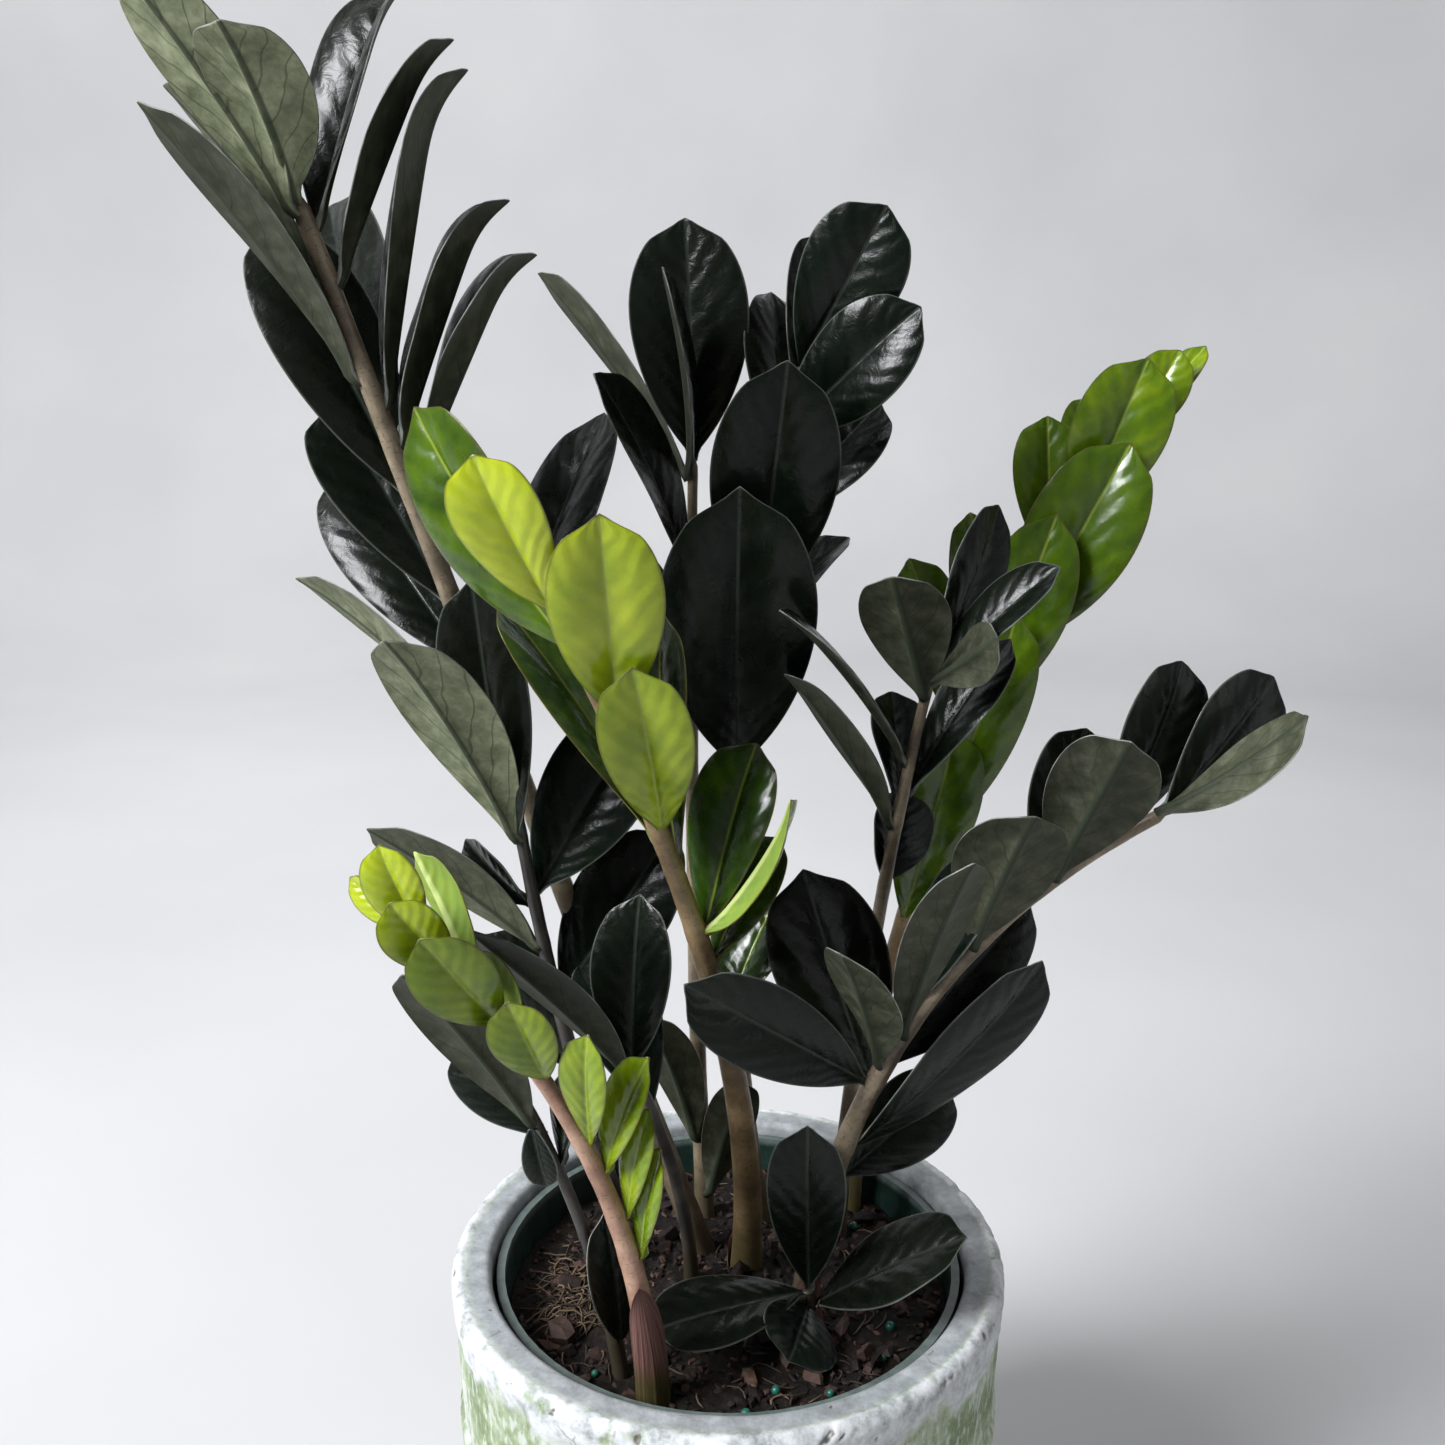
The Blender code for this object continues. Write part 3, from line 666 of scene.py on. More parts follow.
# %% [markdown]
# ## The shape of a blade
# A ZZ leaflet is a fleshy ellipse, widest a little past its middle, with a wedge foot and a short
# point. It could be sculpted once and copied, but no two on a plant are alike, so each is lofted:
# rows of points go from foot to tip, and each row crosses the blade. A row is folded up a little
# on both sides of the midrib, each half is slightly crowned, and the margin waves. The upper sheet
# and the lower one are stitched by a thin rim, which gives the blade its real thickness.

# %% Outline and bend of a blade
CURL = 16  # degrees that the midrib bends back between foot and tip
FOLD = 14  # degrees that each half is raised
LIFT = 0.4  # the share of the curl that the foot is tilted up by
FOOT_POWER = 0.88
TIP_POWER = 0.55
STALK = 1.1 * MM  # half the width of the fleshy foot
BLADE_ROWS = 40
HALF_COLUMNS = [0.035, 0.09, 0.17, 0.28, 0.42, 0.57, 0.72, 0.85, 0.94, 0.985, 1.0]
COLUMNS = np.array([-u for u in reversed(HALF_COLUMNS)] + [0.0] + HALF_COLUMNS)


def smoothstep(values, low, high):
    share = np.clip((values - low) / (high - low), 0, 1)
    return share * share * (3 - 2 * share)


def half_widths(v, length, width, shape):
    """Half the blade's width along it: a wedge foot, a round shoulder and a short point."""
    foot, tip = shape["foot"], shape["tip"]
    widest = foot / (foot + tip)
    peak = widest ** foot * (1 - widest) ** tip
    share = np.clip(v, 0, 1) ** foot * (1 - np.clip(v, 0, 1)) ** tip / peak
    share *= 1 - shape["point"] * smoothstep(v, 0.9, 1.0)
    stalk = STALK * (1 - smoothstep(v * length, 1 * MM, 9 * MM))
    return np.maximum(np.hypot(width / 2 * share, stalk), 0.12 * MM)


def midrib_line(v, length, shape):
    """Places and normals of the midrib in the blade's own frame."""
    curl, hook = math.radians(shape["curl"]), math.radians(shape["hook"])
    angle = -LIFT * curl + curl * v + hook * smoothstep(v, 0.6, 1.0) ** 2
    steps = np.diff(v, prepend=0) * length
    middle = np.concatenate([[angle[0]], (angle[1:] + angle[:-1]) / 2])
    sway = shape["sway"] * length * v ** 2
    places = np.stack([sway, np.cumsum(np.cos(middle) * steps), -np.cumsum(np.sin(middle) * steps)], axis=1)
    normals = np.stack([np.zeros_like(v), np.sin(angle), np.cos(angle)], axis=1)
    return places, normals


print("a 60 x 30 mm blade is widest at", round(FOOT_POWER / (FOOT_POWER + TIP_POWER), 2), "of its length")

# %% [markdown]
# The row of points across the blade is worked out for all rows at once with arrays. Small terms
# add what makes it look grown: the groove over the midrib, the quilting between side veins, a
# wavy margin and a slow twist. The lower sheet is the upper one moved along its normals, thicker
# at the foot and along the midrib, where it makes the keel that shows on the underside.

# %% The two sheets of a blade
def blade_sheets(length, width, shape):
    """The upper and lower sheet as (rows, columns, 3) arrays, and two distances in millimetres."""
    even = np.linspace(0, 1, BLADE_ROWS)
    v = 0.55 * even + 0.45 * (1 - np.cos(math.pi * even)) / 2
    places, normals = midrib_line(v, length, shape)
    half = half_widths(v, length, width, shape)[:, None]
    u = COLUMNS[None, :]
    rows = v[:, None]
    body = np.sin(math.pi * np.clip(rows, 0, 1)) ** 0.6
    fold = math.radians(shape["fold"]) * (1 - 0.35 * rows)
    out = half * u * np.cos(fold)
    up = half * np.sin(fold) * (np.sqrt(u ** 2 + 0.006) - math.sqrt(0.006))
    up = up + shape["crown"] * half * (1 - (2 * np.abs(u) - 1) ** 2) * body
    up = up - shape["roll"] * half * u ** 4 * body
    ripple = np.sin(math.tau * (shape["waves"] * rows + shape["phase"]) + 1.7 * (u > 0))
    up = up + shape["wave"] * half * u ** 2 * ripple * body
    veins = np.sin(math.tau * (8 * rows - 2.2 * np.abs(u)))
    up = up + shape["quilt"] * MM * veins * 4 * np.abs(u) * (1 - np.abs(u)) * body
    up = up - 0.3 * MM * np.exp(-(out / (0.8 * MM)) ** 2) * body
    twist = math.radians(shape["twist"]) * rows
    out, up = out * np.cos(twist) - up * np.sin(twist), out * np.sin(twist) + up * np.cos(twist)
    upper = places[:, None, :] + normals[:, None, :] * up[..., None]
    upper[..., 0] += out
    along = np.gradient(upper, axis=0)
    across = np.gradient(upper, axis=1)
    facing = np.cross(across, along)
    facing /= np.maximum(np.linalg.norm(facing, axis=2, keepdims=True), 1e-12)
    thick = 0.5 * MM - 0.18 * MM * u ** 6
    thick = thick + 0.75 * MM * np.exp(-(out / (1.0 * MM)) ** 2) * (1 - rows) ** 0.5
    thick = thick + 1.3 * MM * np.exp(-rows * length / (4 * MM))
    lower = upper - facing * np.broadcast_to(thick, out.shape)[..., None]
    from_rib = np.abs(half * u) / MM
    from_edge = half * (1 - np.abs(u)) / MM
    return upper, lower, from_rib, from_edge


plain = {
    "foot": 1.0, "tip": 0.75, "point": 0.5, "curl": CURL, "hook": 0, "sway": 0, "fold": FOLD,
    "crown": 0.05, "roll": 0.03, "wave": 0, "waves": 1, "phase": 0, "quilt": 0.1, "twist": 0,
}
sheet = blade_sheets(60 * MM, 30 * MM, plain)[0]
print("test blade", (np.ptp(sheet.reshape(-1, 3), axis=0) / MM).round(1), "mm")

# %% [markdown]
# The arrays become one closed mesh: upper quads, lower quads turned over, and a rim of quads round
# the border. Faces point outwards, because a shader that can tell outside from inside needs that.
# The material number of each face says which skin it wears.

# %% From sheets to a mesh
UPPER, UNDER, MARGIN = 0, 1, 2


def sheets_to_faces(rows, columns):
    """Faces and their material numbers for an upper sheet, a lower sheet and the rim."""
    def top(i, j):
        return i * columns + j

    def low(i, j):
        return rows * columns + i * columns + j

    faces, skins = [], []
    for i in range(rows - 1):
        for j in range(columns - 1):
            faces.append((top(i, j), top(i, j + 1), top(i + 1, j + 1), top(i + 1, j)))
            faces.append((low(i, j), low(i + 1, j), low(i + 1, j + 1), low(i, j + 1)))
            skins += [UPPER, UNDER]
        last = columns - 1
        faces.append((top(i, last), low(i, last), low(i + 1, last), top(i + 1, last)))
        faces.append((top(i, 0), top(i + 1, 0), low(i + 1, 0), low(i, 0)))
        skins += [MARGIN, MARGIN]
    for j in range(columns - 1):
        faces.append((top(rows - 1, j), top(rows - 1, j + 1), low(rows - 1, j + 1), low(rows - 1, j)))
        faces.append((top(0, j), low(0, j), low(0, j + 1), top(0, j + 1)))
        skins += [MARGIN, UNDER]
    return faces, skins


blade_faces, blade_face_skins = sheets_to_faces(BLADE_ROWS, len(COLUMNS))


def add_values(mesh, name, values):
    """Stores one number per vertex under a name that an Attribute node can read."""
    layer = mesh.attributes.new(name, "FLOAT", "POINT")
    layer.data.foreach_set("value", np.asarray(values, np.float32).ravel())


def add_map(mesh, name, pairs):
    """Stores a UV map given one (u, v) pair for each vertex."""
    corners = np.zeros(len(mesh.loops), np.int32)
    mesh.loops.foreach_get("vertex_index", corners)
    mesh.uv_layers.new(name=name).data.foreach_set("uv", np.asarray(pairs, np.float32)[corners].ravel())


def add_piece(name, mesh, materials, replaced=()):
    """Links a finished mesh as a piece that rides on the body, in the place of the named solids."""
    for skin in materials:
        mesh.materials.append(skin)
    piece = bpy.data.objects.new(name, mesh)
    bpy.context.scene.collection.objects.link(piece)
    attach(piece, "root")
    for solid in replaced:
        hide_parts(solid)
    return piece


print(len(blade_faces), "faces in each leaflet")

# %% [markdown]
# ## Placing a leaflet on its stem
# Three angles turn a blade's own axes into the plant's. Its foot starts on the stem's side, on
# the side that the blade leans to, or at the stem's end for the last leaflets. The first row is
# pulled into the stem, so that the fleshy foot grows out of it with no crack.

# %% Where a leaflet goes
SHALLOW = 0.25


def blade_axes(lean, reach, turn):
    lean, reach, turn = (math.radians(angle) for angle in (lean, reach, turn))
    along = Vector((math.sin(lean) * math.cos(reach), -math.sin(reach), math.cos(lean) * math.cos(reach)))
    front = Vector((0, -1, 0))
    facing = (front - front.dot(along) * along).normalized()
    normal = math.cos(turn) * facing + math.sin(turn) * along.cross(facing)
    return along.cross(normal), along, normal


def blade_foot(stem, at, along, normal):
    """The leaflet's foot, and the point inside the stem that it grows from."""
    point, axis = stem.point(at), stem.direction(at)
    if at >= 1:
        return point + 2 * GAP * along, point - 1.5 * MM * axis
    outward = along - along.dot(axis) * axis
    if outward.length < SHALLOW:
        outward += SHALLOW * (normal - normal.dot(axis) * axis)
    outward.normalize()
    foot = point + (stem.radius(at) + GAP) * outward
    return foot, point + 0.3 * stem.radius(at) * outward - 1.2 * MM * axis


print("upright blade axes", [tuple(round(c, 2) for c in axis) for axis in blade_axes(0, 0, 0)])

# %% [markdown]
# ## Every leaflet its own
# Each leaflet gets a random generator seeded with its own name, so the plant is the same every
# time and still no two blades match. Mature blades stay nearly flat, narrow upper leaflets fold
# into troughs and hook outwards, and young ones are more crowned. A leaflet with a solid of its
# own takes that solid's place.

# %% Growing the leaflets
TROUGHS = {("tall_left", n) for n in range(8, 13)}
FROND_TONES = {"lime_front": 0.36, "lime_right": 0.58, "lime_centre": 0.82, "left_inner": 0.3}
# On a mature frond tone sets how pale the underside is. The 1.0 of tall_left 1 and 2 is painted light shining
# through those blades, on top of their own olive.
TONES = {
    ("lime_centre", 1): 0.6, ("lime_centre", 2): 0.02, ("lime_centre", 3): 0.12, ("lime_centre", 4): 0.22,
    ("lime_centre", 5): 0.9, ("lime_centre", 7): 0.35, ("lime_centre", 10): 0.7, ("tall_left", 1): 1.0,
    ("tall_left", 2): 1.0, ("lime_front", 1): 0.1, ("lime_front", 2): 0.15, ("lime_front", 3): 0.2,
    ("lime_right", 1): 0.4, ("lime_right", 2): 0.45, ("lime_right", 3): 0.5,
    ("left_inner", 1): 0.72, ("left_inner", 2): 0.55, ("right_outer", 1): 0.18, ("tall_left", 3): 0.4,
}


def blade_shape(frond, number, rng):
    """The small numbers that make one blade differ from the next."""
    trough = (frond, number) in TROUGHS
    young = FRONDS[frond]["age"] == "young"
    return {
        "foot": FOOT_POWER + rng.uniform(-0.08, 0.1),
        "tip": TIP_POWER + rng.uniform(-0.08, 0.06),
        "point": rng.uniform(0.45, 0.65),
        "curl": 4 if trough else CURL + rng.uniform(-4, 2),
        "hook": rng.uniform(14, 34) if trough else rng.uniform(-4, 10),
        "sway": rng.uniform(-0.035, 0.035),
        "fold": 34 if trough else FOLD + rng.uniform(-5, 7),
        "crown": rng.uniform(0.03, 0.09) + (0.04 if young else 0),
        "roll": rng.uniform(0.0, 0.10),
        "wave": rng.uniform(0.01, 0.05),
        "waves": rng.uniform(0.8, 1.6),
        "phase": rng.random(),
        "quilt": 0.05,
        "twist": rng.uniform(-8, 8),
    }


def grow_leaflet(frond, number, row):
    """Makes one leaflet where the plan puts it and returns its piece."""
    at, length, width, lean, reach, turn = row
    name = f"leaf_{frond}_{number}"
    rng = random.Random(name)
    shape = blade_shape(frond, number, rng)
    side, along, normal = blade_axes(lean, reach, turn)
    foot, root = blade_foot(stems[frond], at, along, normal)
    upper, lower, from_rib, from_edge = blade_sheets(length * MM, width * MM, shape)
    axes = np.array([side, along, normal])
    upper, lower = (sheet @ axes + np.array(foot) for sheet in (upper, lower))
    for share, row_number in ((1.0, 0), (0.35, 1)):
        for sheet in (upper, lower):
            sheet[row_number] += share * (np.array(root) - np.array(foot))
    count = upper.shape[0] * upper.shape[1]
    mesh = bpy.data.meshes.new(name)
    mesh.from_pydata(np.concatenate([upper.reshape(-1, 3), lower.reshape(-1, 3)]).tolist(), [], blade_faces)
    mesh.polygons.foreach_set("material_index", blade_face_skins)
    mesh.polygons.foreach_set("use_smooth", [True] * len(mesh.polygons))
    even = np.linspace(0, 1, BLADE_ROWS)
    grid_u, grid_v = np.meshgrid((COLUMNS + 1) / 2, even)
    add_map(mesh, "blade", np.tile(np.stack([grid_u.ravel(), grid_v.ravel()], axis=1), (2, 1)))
    add_values(mesh, "midrib_mm", np.tile(from_rib.ravel(), 2))
    add_values(mesh, "edge_mm", np.tile(np.broadcast_to(from_edge, from_rib.shape).ravel(), 2))
    add_values(mesh, "leaf_seed", np.full(2 * count, rng.random()))
    tone = TONES.get((frond, number), FROND_TONES.get(frond, 0.15)) + rng.uniform(-0.05, 0.05)
    add_values(mesh, "tone", np.full(2 * count, min(max(tone, 0), 1)))
    mesh.update()
    age = FRONDS[frond]["age"]
    solid = f"leaflet_{frond}_{number}"
    return add_piece(name, mesh, BLADE_SKINS[age], [solid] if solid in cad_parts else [])


solid_boxes = {name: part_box(name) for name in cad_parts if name.startswith("leaflet_")}
leaves = {}
for frond, spec in FRONDS.items():
    for number, row in enumerate(spec["leaflets"], 1):
        leaves[frond, number] = grow_leaflet(frond, number, row)

worst = 0
for (frond, number), piece in leaves.items():
    solid = solid_boxes.get(f"leaflet_{frond}_{number}")
    if solid:
        corners = [piece.matrix_world @ Vector(corner) for corner in piece.bound_box]
        middle = (Vector(map(min, *corners)) + Vector(map(max, *corners))) / 2
        worst = max(worst, (middle - (solid[0] + solid[1]) / 2).length)
print(len(leaves), "leaflets; a middle is at most", round(worst / MM, 1), "mm from its solid's")

# %% [markdown]
# ## Bark of the stems
# A ZZ stem is smooth and fleshy, not woody. A young frond's is tan over olive, pinkish while it is
# slender, with brown flecks. An old one's is grey-brown or nearly black, with dark streaks that run
# along it and fine scars across it where the flecks once were. Stretching the noise along the stem
# gives streaks, which needs a coordinate that runs with it: the UV map `stem` carries the turn in X
# and millimetres in Y.

# %% Stem skins
def stem_skin(name, base_stops, fleck, streak_mix, soiled="#37301f"):
    made, tree, shader = material(name, IOR=1.45, Coat_Weight=0.15, Coat_Roughness=0.25)
    uv = node(tree, "UVMap", {"uv_map": "stem"})
    place = node(tree, "TexCoord").outputs["Object"]
    blotch = node(
        tree, "TexNoise", inputs={"Vector": place, "Scale": per_mm(14), "Detail": 4, "Roughness": 0.6},
    )
    skin = node(tree, "ValToRGB", inputs={"Fac": blotch}, stops=base_stops)
    long = node(tree, "Mapping", inputs={"Vector": uv, "Scale": (9.0, 0.12, 1.0)})
    streaks = node(tree, "TexNoise", inputs={"Vector": long, "Scale": 2.4, "Detail": 5, "Roughness": 0.7})
    dark = node(
        tree, "MapRange", {"interpolation_type": "SMOOTHSTEP"},
        {"Value": streaks, "From Min": 0.52, "From Max": 0.7, "To Max": streak_mix},
    )
    streaked = node(tree, "Mix", {"data_type": "RGBA"}, {"Factor": dark, "A": skin, "B": tint(fleck)})
    short = node(tree, "Mapping", inputs={"Vector": uv, "Scale": (3.0, 0.9, 1.0)})
    scars = node(tree, "TexVoronoi", inputs={"Vector": short, "Scale": 1.6, "Randomness": 0.9})
    spot = node(
        tree, "MapRange", {"interpolation_type": "SMOOTHSTEP"},
        {"Value": scars, "From Min": 0.12, "From Max": 0.3, "To Min": 0.55, "To Max": 0.0},
    )
    flecked = node(tree, "Mix", {"data_type": "RGBA"}, {"Factor": spot, "A": streaked, "B": tint(fleck)})
    low = node(tree, "SeparateXYZ", inputs={"Vector": uv})
    foot = node(
        tree, "MapRange", {"interpolation_type": "SMOOTHSTEP"},
        {"Value": low.outputs["Y"], "From Min": 8.0, "From Max": 42.0, "To Min": 0.8, "To Max": 0.0},
    )
    earthy = node(tree, "Mix", {"data_type": "RGBA"}, {"Factor": foot, "A": flecked, "B": tint(soiled)})
    tree.links.new(socket_of(earthy), shader.inputs["Base Color"])
    rough = node(
        tree, "MapRange",
        inputs={"Value": streaks, "From Min": 0.3, "From Max": 0.7, "To Min": 0.32, "To Max": 0.5},
    )
    tree.links.new(socket_of(rough), shader.inputs["Roughness"])
    grooves = node(tree, "Bump", inputs={"Height": streaks, "Strength": 0.3, "Distance": 0.4 * MM})
    pocks = node(
        tree, "Bump", inputs={"Height": spot, "Strength": 0.2, "Distance": 0.3 * MM, "Normal": grooves},
    )
    tree.links.new(socket_of(pocks), shader.inputs["Normal"])
    return made


STEM_SKINS = {
    "mature": stem_skin(
        "mature_bark", [(0.3, "#574c3d"), (0.5, "#7a6d59"), (0.75, "#a2937a")], "#33271f", 0.65,
    ),
    "young": stem_skin(
        "young_rind", [(0.3, "#564834"), (0.5, "#786346"), (0.75, "#a08966")], "#3d2e1f", 0.5, "#565031",
    ),
    "pink": stem_skin(
        "pinkish_rind", [(0.3, "#7d5d4c"), (0.5, "#a07c68"), (0.75, "#c09f87")], "#4f332d", 0.45,
    ),
    "dark": stem_skin("dark_bark", [(0.3, "#2c2a28"), (0.5, "#403d39"), (0.75, "#5d5852")], "#1f1a19", 0.5),
}
STEM_LOOKS = {
    "lime_front": "pink", "low_left": "dark", "left_inner": "dark", "low_front": "dark",
    "front_inner": "dark",
}
print("stem skins:", list(STEM_SKINS))

# %% [markdown]
# ## Stems
# The stem is a tube along its curve, and its section is rounded off at the top. It swells a
# little where each leaflet joins, and its foot swells before it goes into the mix, because a ZZ
# frond springs from a fat rhizome. Its lower end is sunk into the mix, as a real one is.

# %% Tubes along the stems
STEM_SIDES = 28
STEM_RINGS = 90
SINK = 8 * MM


def grow_stem(frond):
    stem = stems[frond]
    rng = random.Random("stem_" + frond)
    joins = [row[0] for row in FRONDS[frond]["leaflets"] if row[0] < 1]
    length = (stem.tip - stem.foot).length
    start = -SINK / length
    verts, pairs, rings = [], [], []
    for ring in range(STEM_RINGS + 1):
        share = ring / STEM_RINGS
        at = start + (1 - start) * share
        centre = stem.foot + stem.direction(0) * at * length if at < 0 else stem.point(at)
        axis = stem.direction(max(at, 0))
        side = axis.cross(Vector((0, 1, 0.2))).normalized()
        radius = stem.radius(max(at, 0))
        swell = sum(math.exp(-((at - join) * length / (3.2 * MM)) ** 2) for join in joins)
        radius *= 1 + 0.05 * min(swell, 1.5)
        radius *= 1 + 0.10 * math.exp(-max(at, 0) * length / (14 * MM))
        if share > 0.985:
            radius *= math.sqrt(max(1 - ((share - 0.985) / 0.0165) ** 2, 0))
        for step in range(STEM_SIDES):
            angle = math.tau * step / STEM_SIDES
            out = math.cos(angle) * side + math.sin(angle) * side.cross(axis)
            bumpy = noise.noise(centre * per_mm(16) + out * 0.8) * 0.05 + noise.noise(
                centre * per_mm(4) + 2 * out
            ) * 0.02
            verts.append(centre + radius * (1 + bumpy) * out)
            pairs.append((step / STEM_SIDES, at * length / MM))
        rings.append(range(ring * STEM_SIDES, (ring + 1) * STEM_SIDES))
    faces = []
    for low, high in zip(rings, rings[1:]):
        for step in range(STEM_SIDES):
            after = (step + 1) % STEM_SIDES
            faces.append((low[step], high[step], high[after], low[after]))
    faces.append(tuple(rings[0]))
    faces.append(tuple(reversed(rings[-1])))
    mesh = bpy.data.meshes.new("frond_stem_" + frond)
    mesh.from_pydata(verts, [], faces)
    mesh.polygons.foreach_set("use_smooth", [True] * len(mesh.polygons))
    add_map(mesh, "stem", pairs)
    mesh.update()
    age = FRONDS[frond]["age"]
    look = STEM_LOOKS.get(frond, age)
    return add_piece("frond_" + frond, mesh, [STEM_SKINS[look]], ["stem_" + frond])


for frond in FRONDS:
    grow_stem(frond)
print(len(FRONDS), "stems of", (STEM_RINGS + 1) * STEM_SIDES, "points each")

# %% [markdown]
# ## Sheaths
# A new frond pushes up through papery scales. They dry, turn purple-brown and clasp the foot of the
# stem, ending in a point. Fine ribs run along them, and their feet stay olive green. One tall
# sheath stands at a pale stem, and small ones sit at the feet of others.

# %% Papery sheaths
scale, tree, shader = material("dry_sheath", IOR=1.4, Specular_IOR_Level=0.3)
uv = node(tree, "UVMap", {"uv_map": "scale"})
ribs = node(
    tree, "TexNoise",
    inputs={
        "Vector": node(tree, "Mapping", inputs={"Vector": uv, "Scale": (38.0, 1.2, 1.0)}), "Scale": 1.0,
        "Detail": 4, "Roughness": 0.7,
    },
)
papery = node(
    tree, "ValToRGB", inputs={"Fac": ribs}, stops=[(0.32, "#34221f"), (0.5, "#644640"), (0.7, "#93736a")],
)
green_foot = node(tree, "ValToRGB", inputs={"Fac": ribs}, stops=[(0.35, "#2f2b18"), (0.65, "#554d2d")])
up_scale = node(tree, "SeparateXYZ", inputs={"Vector": uv}).outputs["Y"]
dried = node(
    tree, "MapRange", {"interpolation_type": "SMOOTHSTEP"},
    {"Value": up_scale, "From Min": 0.3, "From Max": 0.5},
)
two_part = node(tree, "Mix", {"data_type": "RGBA"}, {"Factor": dried, "A": green_foot, "B": papery})
tree.links.new(socket_of(two_part), shader.inputs["Base Color"])
dry = node(
    tree, "MapRange",
    inputs={"Value": ribs, "From Min": 0.3, "From Max": 0.7, "To Min": 0.5, "To Max": 0.75},
)
tree.links.new(socket_of(dry), shader.inputs["Roughness"])
tree.links.new(
    node(
        tree, "Bump", inputs={"Height": ribs, "Strength": 0.35, "Distance": 0.5 * MM},
    ).outputs[0], shader.inputs["Normal"],
)


SHEATH_ROWS, SHEATH_COLUMNS = 30, 33
SHEATH_SINK = 6  # millimetres of it that stand in the mix


def grow_sheath(name, frond, height, wrap, turn, thick, flare, replaced=()):
    """A pointed scale round a stem's foot: height in mm, wrap and turn in degrees from the front."""
    stem = stems[frond]
    length = (stem.tip - stem.foot).length
    rows, columns = SHEATH_ROWS, SHEATH_COLUMNS
    sheets = ([], [])
    for i in range(rows):
        share = i / (rows - 1)
        rise = (share * (height + SHEATH_SINK) - SHEATH_SINK) * MM
        at = rise / length
        centre = stem.foot + stem.direction(0) * rise if at < 0 else stem.point(at)
        axis = stem.direction(max(at, 0))
        front = Vector((0, -1, 0))
        front = (front - front.dot(axis) * axis).normalized()
        half = math.radians(wrap) * (1 - share ** 2.2) ** 0.75 + 0.02
        for j in range(columns):
            u = 2 * j / (columns - 1) - 1
            angle = math.radians(turn) + half * u
            out = math.cos(angle) * front + math.sin(angle) * axis.cross(front)
            rib = 0.12 * MM * math.cos(u * 34)
            lift = flare * MM * share ** 3 + 0.5 * MM * abs(u) ** 5
            inner = stem.radius(max(at, 0)) * 1.06 + 0.35 * MM + lift
            wall = thick * MM * (1 - 0.6 * share) * (1 - 0.7 * abs(u) ** 4)
            sheets[0].append(centre + (inner + wall + rib) * out)
            sheets[1].append(centre + inner * out)
    faces, _ = sheets_to_faces(rows, columns)
    mesh = bpy.data.meshes.new(name)
    mesh.from_pydata(sheets[0] + sheets[1], [], faces)
    pairs = [(j / (columns - 1), i / (rows - 1)) for i in range(rows) for j in range(columns)]
    add_map(mesh, "scale", pairs + pairs)
    mesh.polygons.foreach_set("use_smooth", [True] * len(mesh.polygons))
    mesh.update()
    return add_piece(name, mesh, [scale], replaced)


grow_sheath("papery_sheath", "lime_front", 44, 115, 15, 0.9, 1.0, ["sheath_lime_front"])
for number, (frond, height, wrap, turn) in enumerate(
    [("right_outer", 16, 80, 10), ("low_front", 13, 90, 60), ("lime_centre", 15, 85, -150)], 1,
):
    grow_sheath(f"foot_scale_{number}", frond, height, wrap, turn, 0.6, 1.0)
print("sheaths of 44 mm and below")

# %% [markdown]
# ## The cachepot
# The cover pot is thick stoneware with a crackled lime-and-ash glaze. The potter throws the wall,
# rounds the rim, and lays on a thick white crust round it, which crawls and chips as it cools.
# Under it a thin sage green glaze lies in patches and short slanting dashes over the grey body. The
# rim's flat top is wiped nearly clean and stays grey. Its chips, pits and crust are real relief in
# the mesh here, because their shadows are what the eye reads as age; the glaze colours only follow
# them.

# %% The cachepot's wall
POT_ROUND = 560
WALL = 12 * MM
FLOOR = 12 * MM
RIM_OUT_ROUND = 3.5 * MM
RIM_IN_ROUND = 2.5 * MM
FOOT_ROUND = 3 * MM

pot_low, pot_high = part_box("cachepot")
POT_HEIGHT = pot_high.z
POT_RADIUS = (pot_high.x - pot_low.x) / 2
FOOT_RADIUS = POT_RADIUS - 4.5 * MM


def arc(centre, radius, start, stop, steps):
    """Points of an arc in a profile, by angles in degrees from straight outwards."""
    turns = [math.radians(start + (stop - start) * i / steps) for i in range(steps + 1)]
    return [(centre[0] + radius * math.cos(a), centre[1] + radius * math.sin(a)) for a in turns]


def line(start, stop, step):
    """Points from start towards stop about one step apart, without the last."""
    count = max(1, round(math.dist(start, stop) / step))
    return [tuple(a + (b - a) * i / count for a, b in zip(start, stop)) for i in range(count)]


def wall_radius(z):
    return FOOT_RADIUS + (POT_RADIUS - FOOT_RADIUS) * z / POT_HEIGHT


outer_rim = arc((POT_RADIUS - RIM_OUT_ROUND, POT_HEIGHT - RIM_OUT_ROUND), RIM_OUT_ROUND, 2, 90, 8)
inner_rim = arc((POT_RADIUS - WALL + RIM_IN_ROUND, POT_HEIGHT - RIM_IN_ROUND), RIM_IN_ROUND, 90, 180, 6)
foot_arc = arc((FOOT_RADIUS - FOOT_ROUND, FOOT_ROUND), FOOT_ROUND, -90, -2, 5)
inner_foot = (FOOT_RADIUS - WALL, FLOOR)
FINE_BAND = 46 * MM  # how far below the rim the rings lie close together
CENTRE = 1 * MM  # the radius of the small disc that closes the pot's axis
profile = line((CENTRE, 0), foot_arc[0], 4 * MM) + foot_arc[:-1]
profile += line(foot_arc[-1], (outer_rim[0][0], POT_HEIGHT - FINE_BAND), 3.2 * MM)
profile += line((wall_radius(POT_HEIGHT - FINE_BAND), POT_HEIGHT - FINE_BAND), outer_rim[0], 0.8 * MM)
profile += outer_rim[:-1] + line(outer_rim[-1], inner_rim[0], 0.9 * MM) + inner_rim[:-1]
profile += line(inner_rim[-1], inner_foot, 6 * MM) + line(inner_foot, (CENTRE, FLOOR), 8 * MM)
profile.append((CENTRE, FLOOR))
